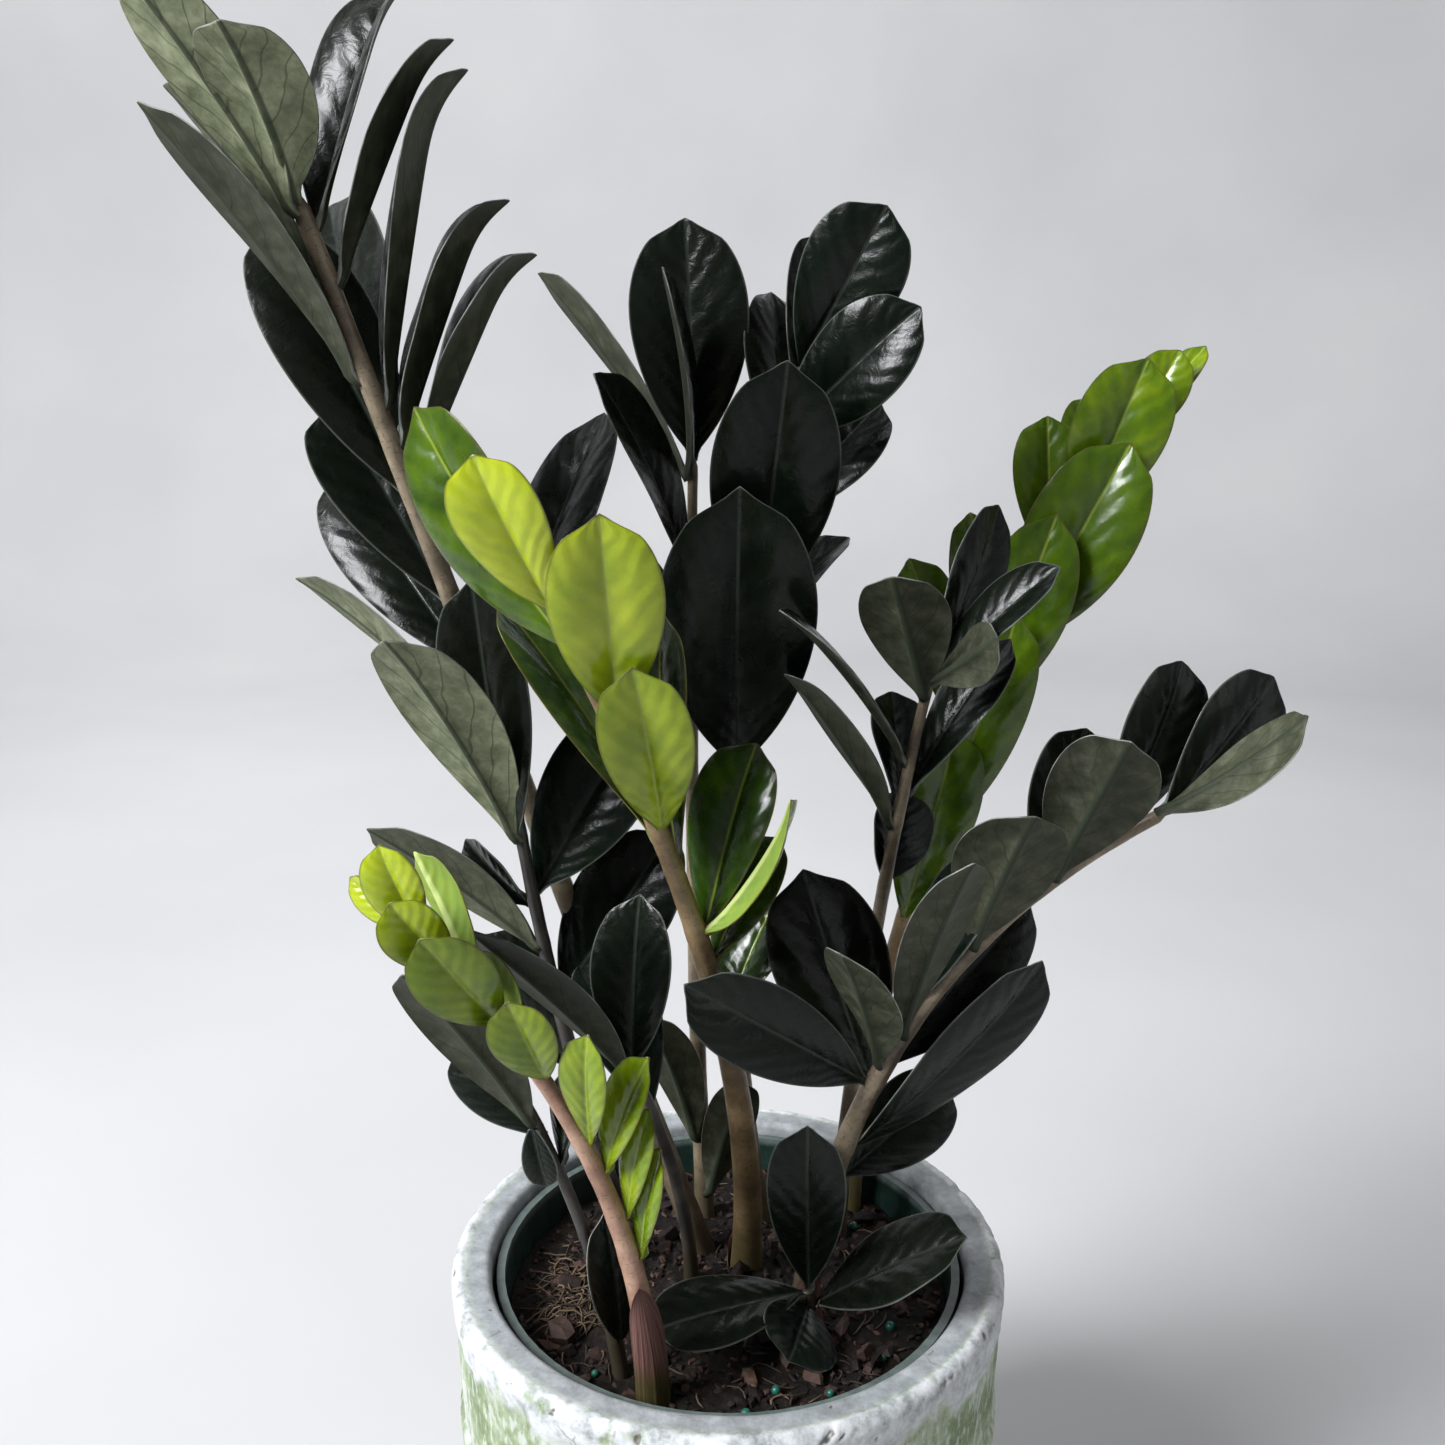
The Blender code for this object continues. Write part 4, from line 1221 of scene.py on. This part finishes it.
print(len(profile), "points in the profile, wall", WALL / MM, "mm")

# %% [markdown]
# The relief is worked out for each point from three-dimensional noise, so that it has no seam.
# `crust` says how much white crust lies there. Its lower border wanders, its upper one is broken
# at the rim's outer edge, and where it breaks the body is chipped in. Small deep pits lie
# scattered over both. Each value is also stored, so that the glaze's colours follow the relief.

# %% Crust, chips and pits
CRUST_DEEP = 13 * MM


def fractal(point, size, octaves=4, offset=0.0):
    """Soft noise between about -1 and 1 whose largest spots are `size` millimetres across."""
    return noise.fractal(point * per_mm(size) + Vector((offset, offset, offset)), 1.0, 2.0, octaves)


def pot_relief(point, radius):
    """How far a point of the outside stands out, and its crust, pit and chip values."""
    depth = POT_HEIGHT - point.z
    out_of_top = smoothstep(np.float64(radius), POT_RADIUS - 5.5 * MM, POT_RADIUS - 2.5 * MM)
    border = CRUST_DEEP + (7 * fractal(point, 26) + 3.5 * fractal(point, 7, 3, 5)) * MM
    crust = float(1 - smoothstep(np.float64(depth), border - 5 * MM, border + 2 * MM)) * float(out_of_top)
    patchy = fractal(point, 9, 4, 11)
    crust *= float(smoothstep(np.float64(patchy), -0.75, -0.35))
    ragged = fractal(point, 3.2, 3, 3)
    edge = math.exp(-((depth - 2.2 * MM) / (2.2 * MM)) ** 2)
    chip = max(0.0, ragged - 0.3) * 1.6 * edge * (0.4 + 0.6 * max(0, fractal(point, 16, 2, 8) + 0.5))
    nearest = noise.voronoi(point * per_mm(4.6))[0][0]
    pit = max(0.0, 1 - nearest / 0.2) * float(
        smoothstep(np.float64(noise.noise(point * per_mm(11))), 0.18, 0.42)
    )
    fine = fractal(point, 1.6, 3, 2)
    rise = 0.5 * crust + 0.12 * crust * fine + 0.2 * crust * fractal(point, 5, 2, 6)
    rise += 0.10 * fine + 0.18 * fractal(point, 12, 3)
    rise -= 1.3 * min(chip, 1) + 0.6 * pit * (0.3 + crust)
    return rise * MM, crust, pit, min(chip * 1.5, 1)


verts, faces, crusts, pits, chips, insides = [], [], [], [], [], []
normals = []
for index, (radius, z) in enumerate(profile):
    before = profile[max(index - 1, 0)]
    after = profile[min(index + 1, len(profile) - 1)]
    run, rise = after[0] - before[0], after[1] - before[1]
    size = math.hypot(run, rise)
    normals.append((rise / size, -run / size))
rim_end = profile.index(inner_rim[0])
for index, ((radius, z), (out, up)) in enumerate(zip(profile, normals)):
    for step in range(POT_ROUND):
        angle = math.tau * step / POT_ROUND
        ray = Vector((math.cos(angle), math.sin(angle), 0))
        point = Vector((0, 0, z)) + radius * ray
        if index <= rim_end and z > 1 * MM:
            rise, crust, pit, chip = pot_relief(point, radius)
            calm = min(1.0, z / (12 * MM)) * (0.25 if index > rim_end - 8 else 1)
            rise = min(rise * calm, 1.4 * MM)
        else:
            rise, crust, pit, chip = 0.1 * MM * noise.noise(point * per_mm(9)), 0, 0, 0
            if z < 1 * MM:
                rise = 0
        verts.append(point + rise * (out * ray + Vector((0, 0, up))))
        crusts.append(crust)
        pits.append(pit)
        chips.append(chip)
        insides.append(float(index > rim_end + 3))
for ring in range(len(profile) - 1):
    for step in range(POT_ROUND):
        after = (step + 1) % POT_ROUND
        low, high = ring * POT_ROUND, (ring + 1) * POT_ROUND
        faces.append((low + step, low + after, high + after, high + step))
faces.append(tuple(reversed(range(POT_ROUND))))
faces.append(tuple(range((len(profile) - 1) * POT_ROUND, len(profile) * POT_ROUND)))
pot_mesh = bpy.data.meshes.new("stoneware_cachepot")
pot_mesh.from_pydata(verts, [], faces)
pot_mesh.polygons.foreach_set("use_smooth", [True] * len(pot_mesh.polygons))
for name, values in (("crust", crusts), ("pit", pits), ("chip", chips), ("inside", insides)):
    add_values(pot_mesh, name, values)
pot_mesh.update()
print(len(faces), "faces in the cachepot")

# %% [markdown]
# Glaze is glass, but an old crackled one is matt where it is thick with ash. The colour follows
# the relief: white on the crust, sage green under it, dark grey-brown in chips and pits. Dashes
# that lean over come from noise that is squeezed sideways, and the crackle lines from the borders
# between Voronoi cells, which a second noise bends first.

# %% Crackled glaze
glaze, tree, shader = material("crackled_ash_glaze", IOR=1.5, Specular_IOR_Level=0.4)
place = node(tree, "TexCoord").outputs["Object"]
crust = node(tree, "Attribute", {"attribute_name": "crust"}).outputs["Fac"]
pit = node(tree, "Attribute", {"attribute_name": "pit"}).outputs["Fac"]
chip = node(tree, "Attribute", {"attribute_name": "chip"}).outputs["Fac"]
inside = node(tree, "Attribute", {"attribute_name": "inside"}).outputs["Fac"]
broad = node(tree, "TexNoise", inputs={"Vector": place, "Scale": per_mm(20), "Detail": 5, "Roughness": 0.62})
sage = node(
    tree, "ValToRGB", inputs={"Fac": broad},
    stops=[(0.32, "#62724e"), (0.45, "#7d8f68"), (0.54, "#9dab8c"), (0.64, "#c4c9c0")],
)
squeezed = node(
    tree, "Mapping",
    inputs={"Vector": place, "Rotation": (0, math.radians(28), 0), "Scale": (1.0, 1.0, 0.42)},
)
dashes = node(
    tree, "TexNoise", inputs={"Vector": squeezed, "Scale": per_mm(2.6), "Detail": 4, "Roughness": 0.6},
)
dash = node(
    tree, "MapRange", {"interpolation_type": "SMOOTHSTEP"},
    {"Value": dashes, "From Min": 0.5, "From Max": 0.6, "To Max": 0.7},
)
dashed = node(tree, "Mix", {"data_type": "RGBA"}, {"Factor": dash, "A": sage, "B": tint("#c8ccc8")})
gaps = node(
    tree, "MapRange", {"interpolation_type": "SMOOTHSTEP"},
    {"Value": dashes, "From Min": 0.43, "From Max": 0.33, "To Max": 0.4},
)
worn = node(tree, "Mix", {"data_type": "RGBA"}, {"Factor": gaps, "A": dashed, "B": tint("#525a47")})
bloom = node(tree, "TexNoise", inputs={"Vector": place, "Scale": per_mm(6), "Detail": 5, "Roughness": 0.7})
white = node(
    tree, "ValToRGB", inputs={"Fac": bloom},
    stops=[(0.32, "#8c9191"), (0.44, "#b9bdbe"), (0.56, "#d0d3d5"), (0.7, "#e2e4e7")],
)
crusted = node(
    tree, "Mix", {"data_type": "RGBA", "clamp_factor": True}, {"Factor": crust, "A": worn, "B": white},
)
height = node(tree, "SeparateXYZ", inputs={"Vector": place}).outputs["Z"]
on_top = node(
    tree, "MapRange", {"interpolation_type": "SMOOTHSTEP"},
    {"Value": height, "From Min": POT_HEIGHT - 2.2 * MM, "From Max": POT_HEIGHT - 0.9 * MM},
)
bare = node(tree, "Math", {"operation": "MULTIPLY_ADD", "use_clamp": True}, {0: crust, 1: -1.5, 2: on_top})
clay = node(
    tree, "ValToRGB", inputs={"Fac": bloom}, stops=[(0.3, "#7f8485"), (0.5, "#989d9f"), (0.72, "#b3b7ba")],
)
topped = node(
    tree, "Mix", {"data_type": "RGBA", "clamp_factor": True}, {"Factor": bare, "A": crusted, "B": clay},
)
walled = node(tree, "Mix", {"data_type": "RGBA"}, {"Factor": inside, "A": topped, "B": clay})
warp = node(tree, "TexNoise", inputs={"Vector": place, "Scale": per_mm(6), "Detail": 3})
wandering = node(
    tree, "VectorMath", {"operation": "MULTIPLY_ADD"},
    {0: warp.outputs["Color"], 1: (4 * MM, 4 * MM, 4 * MM), 2: place},
)
cells = node(
    tree, "TexVoronoi", {"feature": "DISTANCE_TO_EDGE"},
    {"Vector": wandering, "Scale": per_mm(15), "Randomness": 1.0},
)
crack = node(
    tree, "MapRange", {"interpolation_type": "SMOOTHSTEP"},
    {"Value": cells, "From Min": 0.008, "From Max": 0.026, "To Min": 1.0, "To Max": 0.0},
)
some = node(
    tree, "MapRange", {"interpolation_type": "SMOOTHSTEP"},
    {"Value": broad, "From Min": 0.56, "From Max": 0.64, "To Max": 0.45},
)
cracks = node(tree, "Math", {"operation": "MULTIPLY"}, {0: crack, 1: some})
cracked = node(tree, "Mix", {"data_type": "RGBA"}, {"Factor": cracks, "A": walled, "B": tint("#4a4743")})
hollow = node(tree, "Math", {"operation": "MAXIMUM"}, {0: pit, 1: chip})
dark = node(
    tree, "MapRange", {"interpolation_type": "SMOOTHSTEP"},
    {"Value": hollow, "From Min": 0.15, "From Max": 0.6, "To Max": 0.85},
)
body = node(tree, "ValToRGB", inputs={"Fac": bloom}, stops=[(0.35, "#3b332c"), (0.6, "#6a6156")])
done = node(tree, "Mix", {"data_type": "RGBA"}, {"Factor": dark, "A": cracked, "B": body})
tree.links.new(socket_of(done), shader.inputs["Base Color"])
rough = node(
    tree, "MapRange",
    inputs={"Value": bloom, "From Min": 0.3, "From Max": 0.7, "To Min": 0.42, "To Max": 0.68},
)
tree.links.new(socket_of(rough), shader.inputs["Roughness"])
relief = node(tree, "Bump", inputs={"Height": dashes, "Strength": 0.35, "Distance": 0.5 * MM})
grainy = node(tree, "Bump", inputs={"Height": bloom, "Strength": 0.3, "Distance": 0.6 * MM, "Normal": relief})
split = node(
    tree, "Bump", {"invert": True},
    {"Height": cracks, "Strength": 0.5, "Distance": 0.4 * MM, "Normal": grainy},
)
tree.links.new(socket_of(split), shader.inputs["Normal"])
add_piece("stoneware_cachepot", pot_mesh, [glaze], ["cachepot"])
print(glaze.name, len(tree.nodes), "nodes")

# %% [markdown]
# ## The nursery pot
# The plant was grown in a thin injection-moulded pot of dark green polypropylene, and it still
# stands in it. Its solid already has the right wall and lip, so the solid stays as the visible
# piece and only gets softer edges and a skin. Dust and dried water leave the lip greyer than the
# wall below it.

# %% Green plastic
plastic, tree, shader = material("green_polypropylene", IOR=1.49, Specular_IOR_Level=0.45)
place = node(tree, "TexCoord").outputs["Object"]
height = node(tree, "SeparateXYZ", inputs={"Vector": place}).outputs["Z"]
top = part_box("nursery_pot")[1].z
dust = node(tree, "TexNoise", inputs={"Vector": place, "Scale": per_mm(5), "Detail": 5, "Roughness": 0.7})
level = node(
    tree, "MapRange", {"interpolation_type": "SMOOTHSTEP"},
    {"Value": height, "From Min": top - 3.5 * MM, "From Max": top - 0.6 * MM, "To Max": 0.75},
)
film = node(tree, "Math", {"operation": "MULTIPLY"}, {0: level, 1: dust})
green = node(tree, "ValToRGB", inputs={"Fac": dust}, stops=[(0.3, "#0d211c"), (0.7, "#1b332c")])
dusty = node(
    tree, "Mix", {"data_type": "RGBA", "clamp_factor": True},
    {
        "Factor": node(tree, "Math", {"operation": "MULTIPLY"}, {0: film, 1: 1.9}), "A": green,
        "B": tint("#67736f"),
    },
)
tree.links.new(socket_of(dusty), shader.inputs["Base Color"])
worn = node(
    tree, "MapRange",
    inputs={"Value": dust, "From Min": 0.3, "From Max": 0.7, "To Min": 0.34, "To Max": 0.58},
)
tree.links.new(socket_of(worn), shader.inputs["Roughness"])
scuffs = node(tree, "Bump", inputs={"Height": dust, "Strength": 0.15, "Distance": 0.3 * MM})
tree.links.new(socket_of(scuffs), shader.inputs["Normal"])

liner = bpy.data.objects["nursery_pot"]
liner.data.materials.clear()
liner.data.materials.append(plastic)
for polygon in liner.data.polygons:
    polygon.use_smooth = True
soft = liner.modifiers.new("Moulded edges", "BEVEL")
soft.width = 0.35 * MM
soft.segments = 3
soft.limit_method = "ANGLE"
soft.angle_limit = math.radians(40)
soft.harden_normals = True
print("nursery pot lip at", round(top / MM, 1), "mm")

# %% [markdown]
# ## The potting mix
# Indoor mixes are dark peat with bark, coir fibre and a few beads of slow-release feed. A single
# bumpy surface would look like dough, so the peat is a finely displaced disc, and the coarse
# parts lie on it as small solid pieces of their own: each is a real shape that casts a shadow.

# %% Peat
soil_low, soil_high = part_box("soil")
SOIL_RADIUS = min(71.0 * MM, (soil_high.x - soil_low.x) / 2)
SOIL_RINGS, SOIL_SIDES = 110, 300
LITTER_PATCH = (Vector((-48 * MM, -2 * MM, 0)), 22 * MM)


def soil_height(x, y):
    """The height of the mix: a low dome, banked up round the stems, with crumbs of several sizes."""
    off = math.hypot(x, y)
    height = soil_level + SOIL_DOME * (1 - (off / SOIL_RADIUS) ** 2)
    spot = Vector((x, y, 0))
    height += 1.3 * MM * noise.fractal(spot * per_mm(20), 1.0, 2.0, 2)
    height += 1.0 * MM * noise.fractal(spot * per_mm(5.5) + Vector((7, 3, 1)), 0.8, 2.1, 4)
    for stem in stems.values():
        near = math.hypot(x - stem.foot.x, y - stem.foot.y)
        height += 1.6 * MM * math.exp(-(near / (10 * MM)) ** 2)
    return height


verts, faces = [], []
for ring in range(SOIL_RINGS + 1):
    radius = SOIL_RADIUS * (ring / SOIL_RINGS) ** 0.8
    for step in range(SOIL_SIDES):
        angle = math.tau * step / SOIL_SIDES
        x, y = radius * math.cos(angle), radius * math.sin(angle)
        if ring == 0:
            x, y = 0.01 * MM * math.cos(angle), 0.01 * MM * math.sin(angle)
        verts.append((x, y, soil_height(x, y)))
under = len(verts)
for step in range(SOIL_SIDES):
    angle = math.tau * step / SOIL_SIDES
    verts.append(
        (
            (SOIL_RADIUS - 2 * MM) * math.cos(angle), (SOIL_RADIUS - 2 * MM) * math.sin(angle),
            soil_level - 14 * MM,
        )
    )
for ring in range(SOIL_RINGS):
    for step in range(SOIL_SIDES):
        after = (step + 1) % SOIL_SIDES
        low, high = ring * SOIL_SIDES, (ring + 1) * SOIL_SIDES
        faces.append((low + step, high + step, high + after, low + after))
last = SOIL_RINGS * SOIL_SIDES
for step in range(SOIL_SIDES):
    after = (step + 1) % SOIL_SIDES
    faces.append((last + step, under + step, under + after, last + after))
faces.append(tuple(reversed(range(under, under + SOIL_SIDES))))
faces.append(tuple(range(SOIL_SIDES)))
soil_mesh = bpy.data.meshes.new("peat")
soil_mesh.from_pydata(verts, [], faces)
soil_mesh.polygons.foreach_set("use_smooth", [True] * len(soil_mesh.polygons))
soil_mesh.update()

peat, tree, shader = material("damp_peat", IOR=1.4, Specular_IOR_Level=0.3)
place = node(tree, "TexCoord").outputs["Object"]
crumbs = node(
    tree, "TexNoise", inputs={"Vector": place, "Scale": per_mm(2.2), "Detail": 6, "Roughness": 0.75},
)
damp = node(tree, "TexNoise", inputs={"Vector": place, "Scale": per_mm(24), "Detail": 2})
black = node(
    tree, "ValToRGB", inputs={"Fac": crumbs},
    stops=[(0.35, "#0a0807"), (0.55, "#1a1511"), (0.72, "#332a23")],
)
dry = node(
    tree, "ValToRGB", inputs={"Fac": crumbs},
    stops=[(0.35, "#16110d"), (0.55, "#32271f"), (0.75, "#625142")],
)
part = node(
    tree, "MapRange", {"interpolation_type": "SMOOTHSTEP"},
    {"Value": damp, "From Min": 0.5, "From Max": 0.66, "To Max": 0.7},
)
peaty = node(tree, "Mix", {"data_type": "RGBA"}, {"Factor": part, "A": black, "B": dry})
tree.links.new(socket_of(peaty), shader.inputs["Base Color"])
wet = node(
    tree, "MapRange",
    inputs={"Value": damp, "From Min": 0.3, "From Max": 0.7, "To Min": 0.62, "To Max": 0.9},
)
tree.links.new(socket_of(wet), shader.inputs["Roughness"])
rubble = node(tree, "Bump", inputs={"Height": crumbs, "Strength": 0.9, "Distance": 1.2 * MM})
tree.links.new(socket_of(rubble), shader.inputs["Normal"])
add_piece("peat", soil_mesh, [peat], ["soil"])
print(len(verts), "points in the peat")

# %% [markdown]
# ## Bark, fibre and feed
# Bark flakes are broken along the grain, so a flake is a flattened block with split sides; each
# is made from a small grid of corners, pushed about at random. Hundreds of them share one mesh.
# Coir fibres are thin bent tubes. The feed is resin-coated beads of a real teal green.

# %% Loose parts as one mesh each
rng = random.Random("potting mix")


def flake(size, flat, rng):
    """Corners and faces of a broken flake: a hexagonal block with a shifted, tilted top."""
    sides = rng.choice((5, 6, 7, 8))
    stretch = rng.uniform(1.2, 2.6)
    start = rng.random() * math.tau
    low, high = [], []
    for step in range(sides):
        angle = start + math.tau * (step + rng.uniform(-0.3, 0.3)) / sides
        reach = size * rng.uniform(0.36, 0.56)
        x, y = reach * math.cos(angle), reach * math.sin(angle) / stretch
        lift = size * flat * rng.uniform(0.35, 0.65)
        shrink = rng.uniform(0.72, 0.98)
        low.append(Vector((x, y, -lift)))
        high.append(Vector((x * shrink, y * shrink, lift * rng.uniform(0.8, 1.1))))
    top = Vector((0, 0, size * flat * rng.uniform(0.55, 0.8)))
    corners = low + high + [top, -top]
    crown, keel = 2 * sides, 2 * sides + 1
    faces = []
    for step in range(sides):
        after = (step + 1) % sides
        faces.append((step, after, sides + after, sides + step))
        faces.append((sides + step, sides + after, crown))
        faces.append((after, step, keel))
    return corners, faces


def tube(points, radius, sides=6):
    """Corners and faces of a thin closed tube through points."""
    corners, faces = [], []
    for index, point in enumerate(points):
        axis = (points[min(index + 1, len(points) - 1)] - points[max(index - 1, 0)]).normalized()
        side = axis.cross(Vector((0.31, 0.17, 0.94))).normalized()
        taper = 0.55 if index in (0, len(points) - 1) else 1
        for step in range(sides):
            angle = math.tau * step / sides
            corners.append(
                point + radius * taper * (math.cos(angle) * side + math.sin(angle) * side.cross(axis))
            )
    for ring in range(len(points) - 1):
        for step in range(sides):
            after = (step + 1) % sides
            low, high = ring * sides, (ring + 1) * sides
            faces.append((low + step, high + step, high + after, low + after))
    faces.append(tuple(range(sides)))
    faces.append(tuple(reversed(range((len(points) - 1) * sides, len(points) * sides))))
    return corners, faces


def join_parts(name, parts, smooth=False):
    """One mesh from many (corners, faces, seed) parts; each part's seed is stored on its points."""
    verts, faces, seeds = [], [], []
    for corners, part_faces, seed in parts:
        base = len(verts)
        verts += corners
        faces += [tuple(base + corner for corner in face) for face in part_faces]
        seeds += [seed] * len(corners)
    mesh = bpy.data.meshes.new(name)
    mesh.from_pydata(verts, [], faces)
    mesh.polygons.foreach_set("use_smooth", [smooth] * len(faces))
    add_values(mesh, "part_seed", seeds)
    mesh.update()
    return mesh


def free_spot(rng, margin, clear):
    """A random place on the mix, `margin` from the wall and `clear` of every stem."""
    while True:
        angle, off = rng.random() * math.tau, math.sqrt(rng.random()) * (SOIL_RADIUS - margin)
        x, y = off * math.cos(angle), off * math.sin(angle)
        if all(math.hypot(x - s.foot.x, y - s.foot.y) > s.radii[0] + clear for s in stems.values()):
            return x, y


FLAKES, LARGE_FLAKES = 1150, 110
parts = []
for index in range(FLAKES):
    size = (rng.uniform(2.0, 4.6) if index > LARGE_FLAKES else rng.uniform(5.5, 12)) * MM
    x, y = free_spot(rng, size * 0.5 + 0.5 * MM, size * 0.2)
    flat = rng.uniform(0.14, 0.4)
    corners, part_faces = flake(size, flat, rng)
    tilt = Matrix.Rotation(rng.uniform(-0.5, 0.5), 3, "X") @ Matrix.Rotation(rng.uniform(-0.5, 0.5), 3, "Y")
    spin = Matrix.Rotation(rng.random() * math.tau, 3, "Z")
    centre = Vector((x, y, soil_height(x, y) + size * flat * rng.uniform(0.0, 0.5)))
    parts.append(([centre + spin @ (tilt @ corner) for corner in corners], part_faces, rng.random()))
bark_mesh = join_parts("bark_chips", parts)

FIBRES, PATCH_FIBRES, FIBRE_STEPS = 340, 190, 7
parts = []
for index in range(FIBRES):
    in_patch = index < PATCH_FIBRES
    if in_patch:
        angle, off = rng.random() * math.tau, math.sqrt(rng.random()) * LITTER_PATCH[1]
        x, y = LITTER_PATCH[0].x + off * math.cos(angle) * 0.6, LITTER_PATCH[0].y + off * math.sin(angle)
    else:
        x, y = free_spot(rng, 6 * MM, 1 * MM)
    if math.hypot(x, y) > SOIL_RADIUS - 5 * MM:
        continue
    heading, bend = rng.random() * math.tau, rng.uniform(-0.5, 0.5)
    length = rng.uniform(6, 16) * MM
    points, place_now = [], Vector((x, y, 0))
    rise = rng.uniform(0.3, 2.6 if in_patch else 1.2) * MM
    for step in range(FIBRE_STEPS):
        share = step / (FIBRE_STEPS - 1)
        if math.hypot(place_now.x, place_now.y) < SOIL_RADIUS - 1.2 * MM:
            lift = rise * math.sin(math.pi * share) + 0.2 * MM
            points.append(Vector((place_now.x, place_now.y, soil_height(place_now.x, place_now.y) + lift)))
        heading += bend + rng.uniform(-0.25, 0.25)
        place_now = place_now + Vector((math.cos(heading), math.sin(heading), 0)) * length / FIBRE_STEPS
    if len(points) > 2:
        corners, part_faces = tube(points, rng.uniform(0.16, 0.34) * MM)
        parts.append((corners, part_faces, rng.random()))
fibre_mesh = join_parts("coir_fibres", parts, smooth=True)
print(len(bark_mesh.polygons), "bark faces,", len(fibre_mesh.polygons), "fibre faces")

# %% [markdown]
# A bead is a sphere of resin with slight dimples, so each is a small subdivided ball pushed about
# by noise and set on the mix with only its bottom sunk in.

# %% Beads of feed
BEADS = [
    (30, -52), (22, -58), (47, -36), (14, -50), (51, -22), (-40, -44), (5, -60), (-30, 20), (44, 30),
    (27, -45),
]
BEAD_RINGS, BEAD_SIDES = 12, 18


def bead(centre, radius):
    corners, faces = [centre + Vector((0, 0, -radius))], []
    for ring in range(1, BEAD_RINGS):
        polar = math.pi * ring / BEAD_RINGS
        for step in range(BEAD_SIDES):
            angle = math.tau * step / BEAD_SIDES
            out = Vector(
                (math.sin(polar) * math.cos(angle), math.sin(polar) * math.sin(angle), -math.cos(polar))
            )
            corners.append(centre + out * radius * (1 + 0.05 * noise.noise(out * 2.2 + centre * 900)))
    corners.append(centre + Vector((0, 0, radius)))
    last = len(corners) - 1
    for step in range(BEAD_SIDES):
        after = (step + 1) % BEAD_SIDES
        faces.append((0, 1 + after, 1 + step))
        top = 1 + (BEAD_RINGS - 2) * BEAD_SIDES
        faces.append((last, top + step, top + after))
        for ring in range(BEAD_RINGS - 2):
            low, high = 1 + ring * BEAD_SIDES, 1 + (ring + 1) * BEAD_SIDES
            faces.append((low + step, low + after, high + after, high + step))
    return corners, faces


parts = []
for x, y in BEADS:
    radius = rng.uniform(1.1, 1.6) * MM
    centre = Vector((x * MM, y * MM, soil_height(x * MM, y * MM) + 0.9 * radius))
    parts.append((*bead(centre, radius), rng.random()))
bead_mesh = join_parts("feed_beads", parts, smooth=True)
print(len(BEADS), "beads of 2.2 to 3.2 mm")

# %% [markdown]
# Three plain finishes for the loose parts. The seed on each part moves its colour along a ramp,
# so that one material paints every flake differently, as fresh and weathered bark lie together.

# %% Bark, fibre and resin finishes
bark, tree, shader = material("pine_bark", IOR=1.4, Specular_IOR_Level=0.35)
place = node(tree, "TexCoord").outputs["Object"]
seed = node(tree, "Attribute", {"attribute_name": "part_seed"}).outputs["Fac"]
grain = node(tree, "TexNoise", inputs={"Vector": place, "Scale": per_mm(1.8), "Detail": 5, "Roughness": 0.7})
mixed = node(
    tree, "Math", {"operation": "MULTIPLY_ADD"},
    {0: grain, 1: 0.45, 2: node(tree, "Math", {"operation": "MULTIPLY"}, {0: seed, 1: 0.6})},
)
woody = node(
    tree, "ValToRGB", inputs={"Fac": mixed},
    stops=[(0.15, "#0d0a09"), (0.4, "#1f1815"), (0.62, "#352823"), (0.8, "#523e35"), (0.95, "#76604e")],
)
tree.links.new(socket_of(woody), shader.inputs["Base Color"])
rough = node(
    tree, "MapRange",
    inputs={"Value": grain, "From Min": 0.3, "From Max": 0.7, "To Min": 0.5, "To Max": 0.85},
)
tree.links.new(socket_of(rough), shader.inputs["Roughness"])
tree.links.new(
    node(tree, "Bump", inputs={"Height": grain, "Strength": 0.6, "Distance": 0.6 * MM}).outputs[0],
    shader.inputs["Normal"],
)

fibre, tree, shader = material("coir_fibre", IOR=1.4, Roughness=0.75)
place = node(tree, "TexCoord").outputs["Object"]
seed = node(tree, "Attribute", {"attribute_name": "part_seed"}).outputs["Fac"]
strand = node(tree, "TexNoise", inputs={"Vector": place, "Scale": per_mm(3), "Detail": 3})
mixed = node(
    tree, "Math", {"operation": "MULTIPLY_ADD"},
    {0: strand, 1: 0.4, 2: node(tree, "Math", {"operation": "MULTIPLY"}, {0: seed, 1: 0.6})},
)
hair = node(
    tree, "ValToRGB", inputs={"Fac": mixed},
    stops=[(0.2, "#1e1712"), (0.5, "#42352a"), (0.75, "#695844"), (0.95, "#93826a")],
)
tree.links.new(socket_of(hair), shader.inputs["Base Color"])

resin, tree, shader = material("resin_bead", IOR=1.5, Coat_Weight=0.3, Coat_Roughness=0.2)
place = node(tree, "TexCoord").outputs["Object"]
film = node(tree, "TexNoise", inputs={"Vector": place, "Scale": per_mm(1.6), "Detail": 3})
teal = node(
    tree, "ValToRGB", inputs={"Fac": film}, stops=[(0.3, "#0c4238"), (0.55, "#155c4d"), (0.75, "#2b7263")],
)
tree.links.new(socket_of(teal), shader.inputs["Base Color"])
rough = node(
    tree, "MapRange", inputs={"Value": film, "From Min": 0.3, "From Max": 0.7, "To Min": 0.3, "To Max": 0.5},
)
tree.links.new(socket_of(rough), shader.inputs["Roughness"])

add_piece("bark_chips", bark_mesh, [bark])
add_piece("coir_fibres", fibre_mesh, [fibre])
add_piece("feed_beads", bead_mesh, [resin])
print("finishes:", bark.name, fibre.name, resin.name)

# %% [markdown]
# ## The size of the result
# The visible plant must stay close to the solids that physics knows, so both boxes are written
# down side by side.

# %% Measure and finish
seen_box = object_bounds()
for name, box in (("solids", cad_box), ("visible", seen_box)):
    print(name, [round((high - low) / MM, 1) for low, high in zip(*box)], "mm")
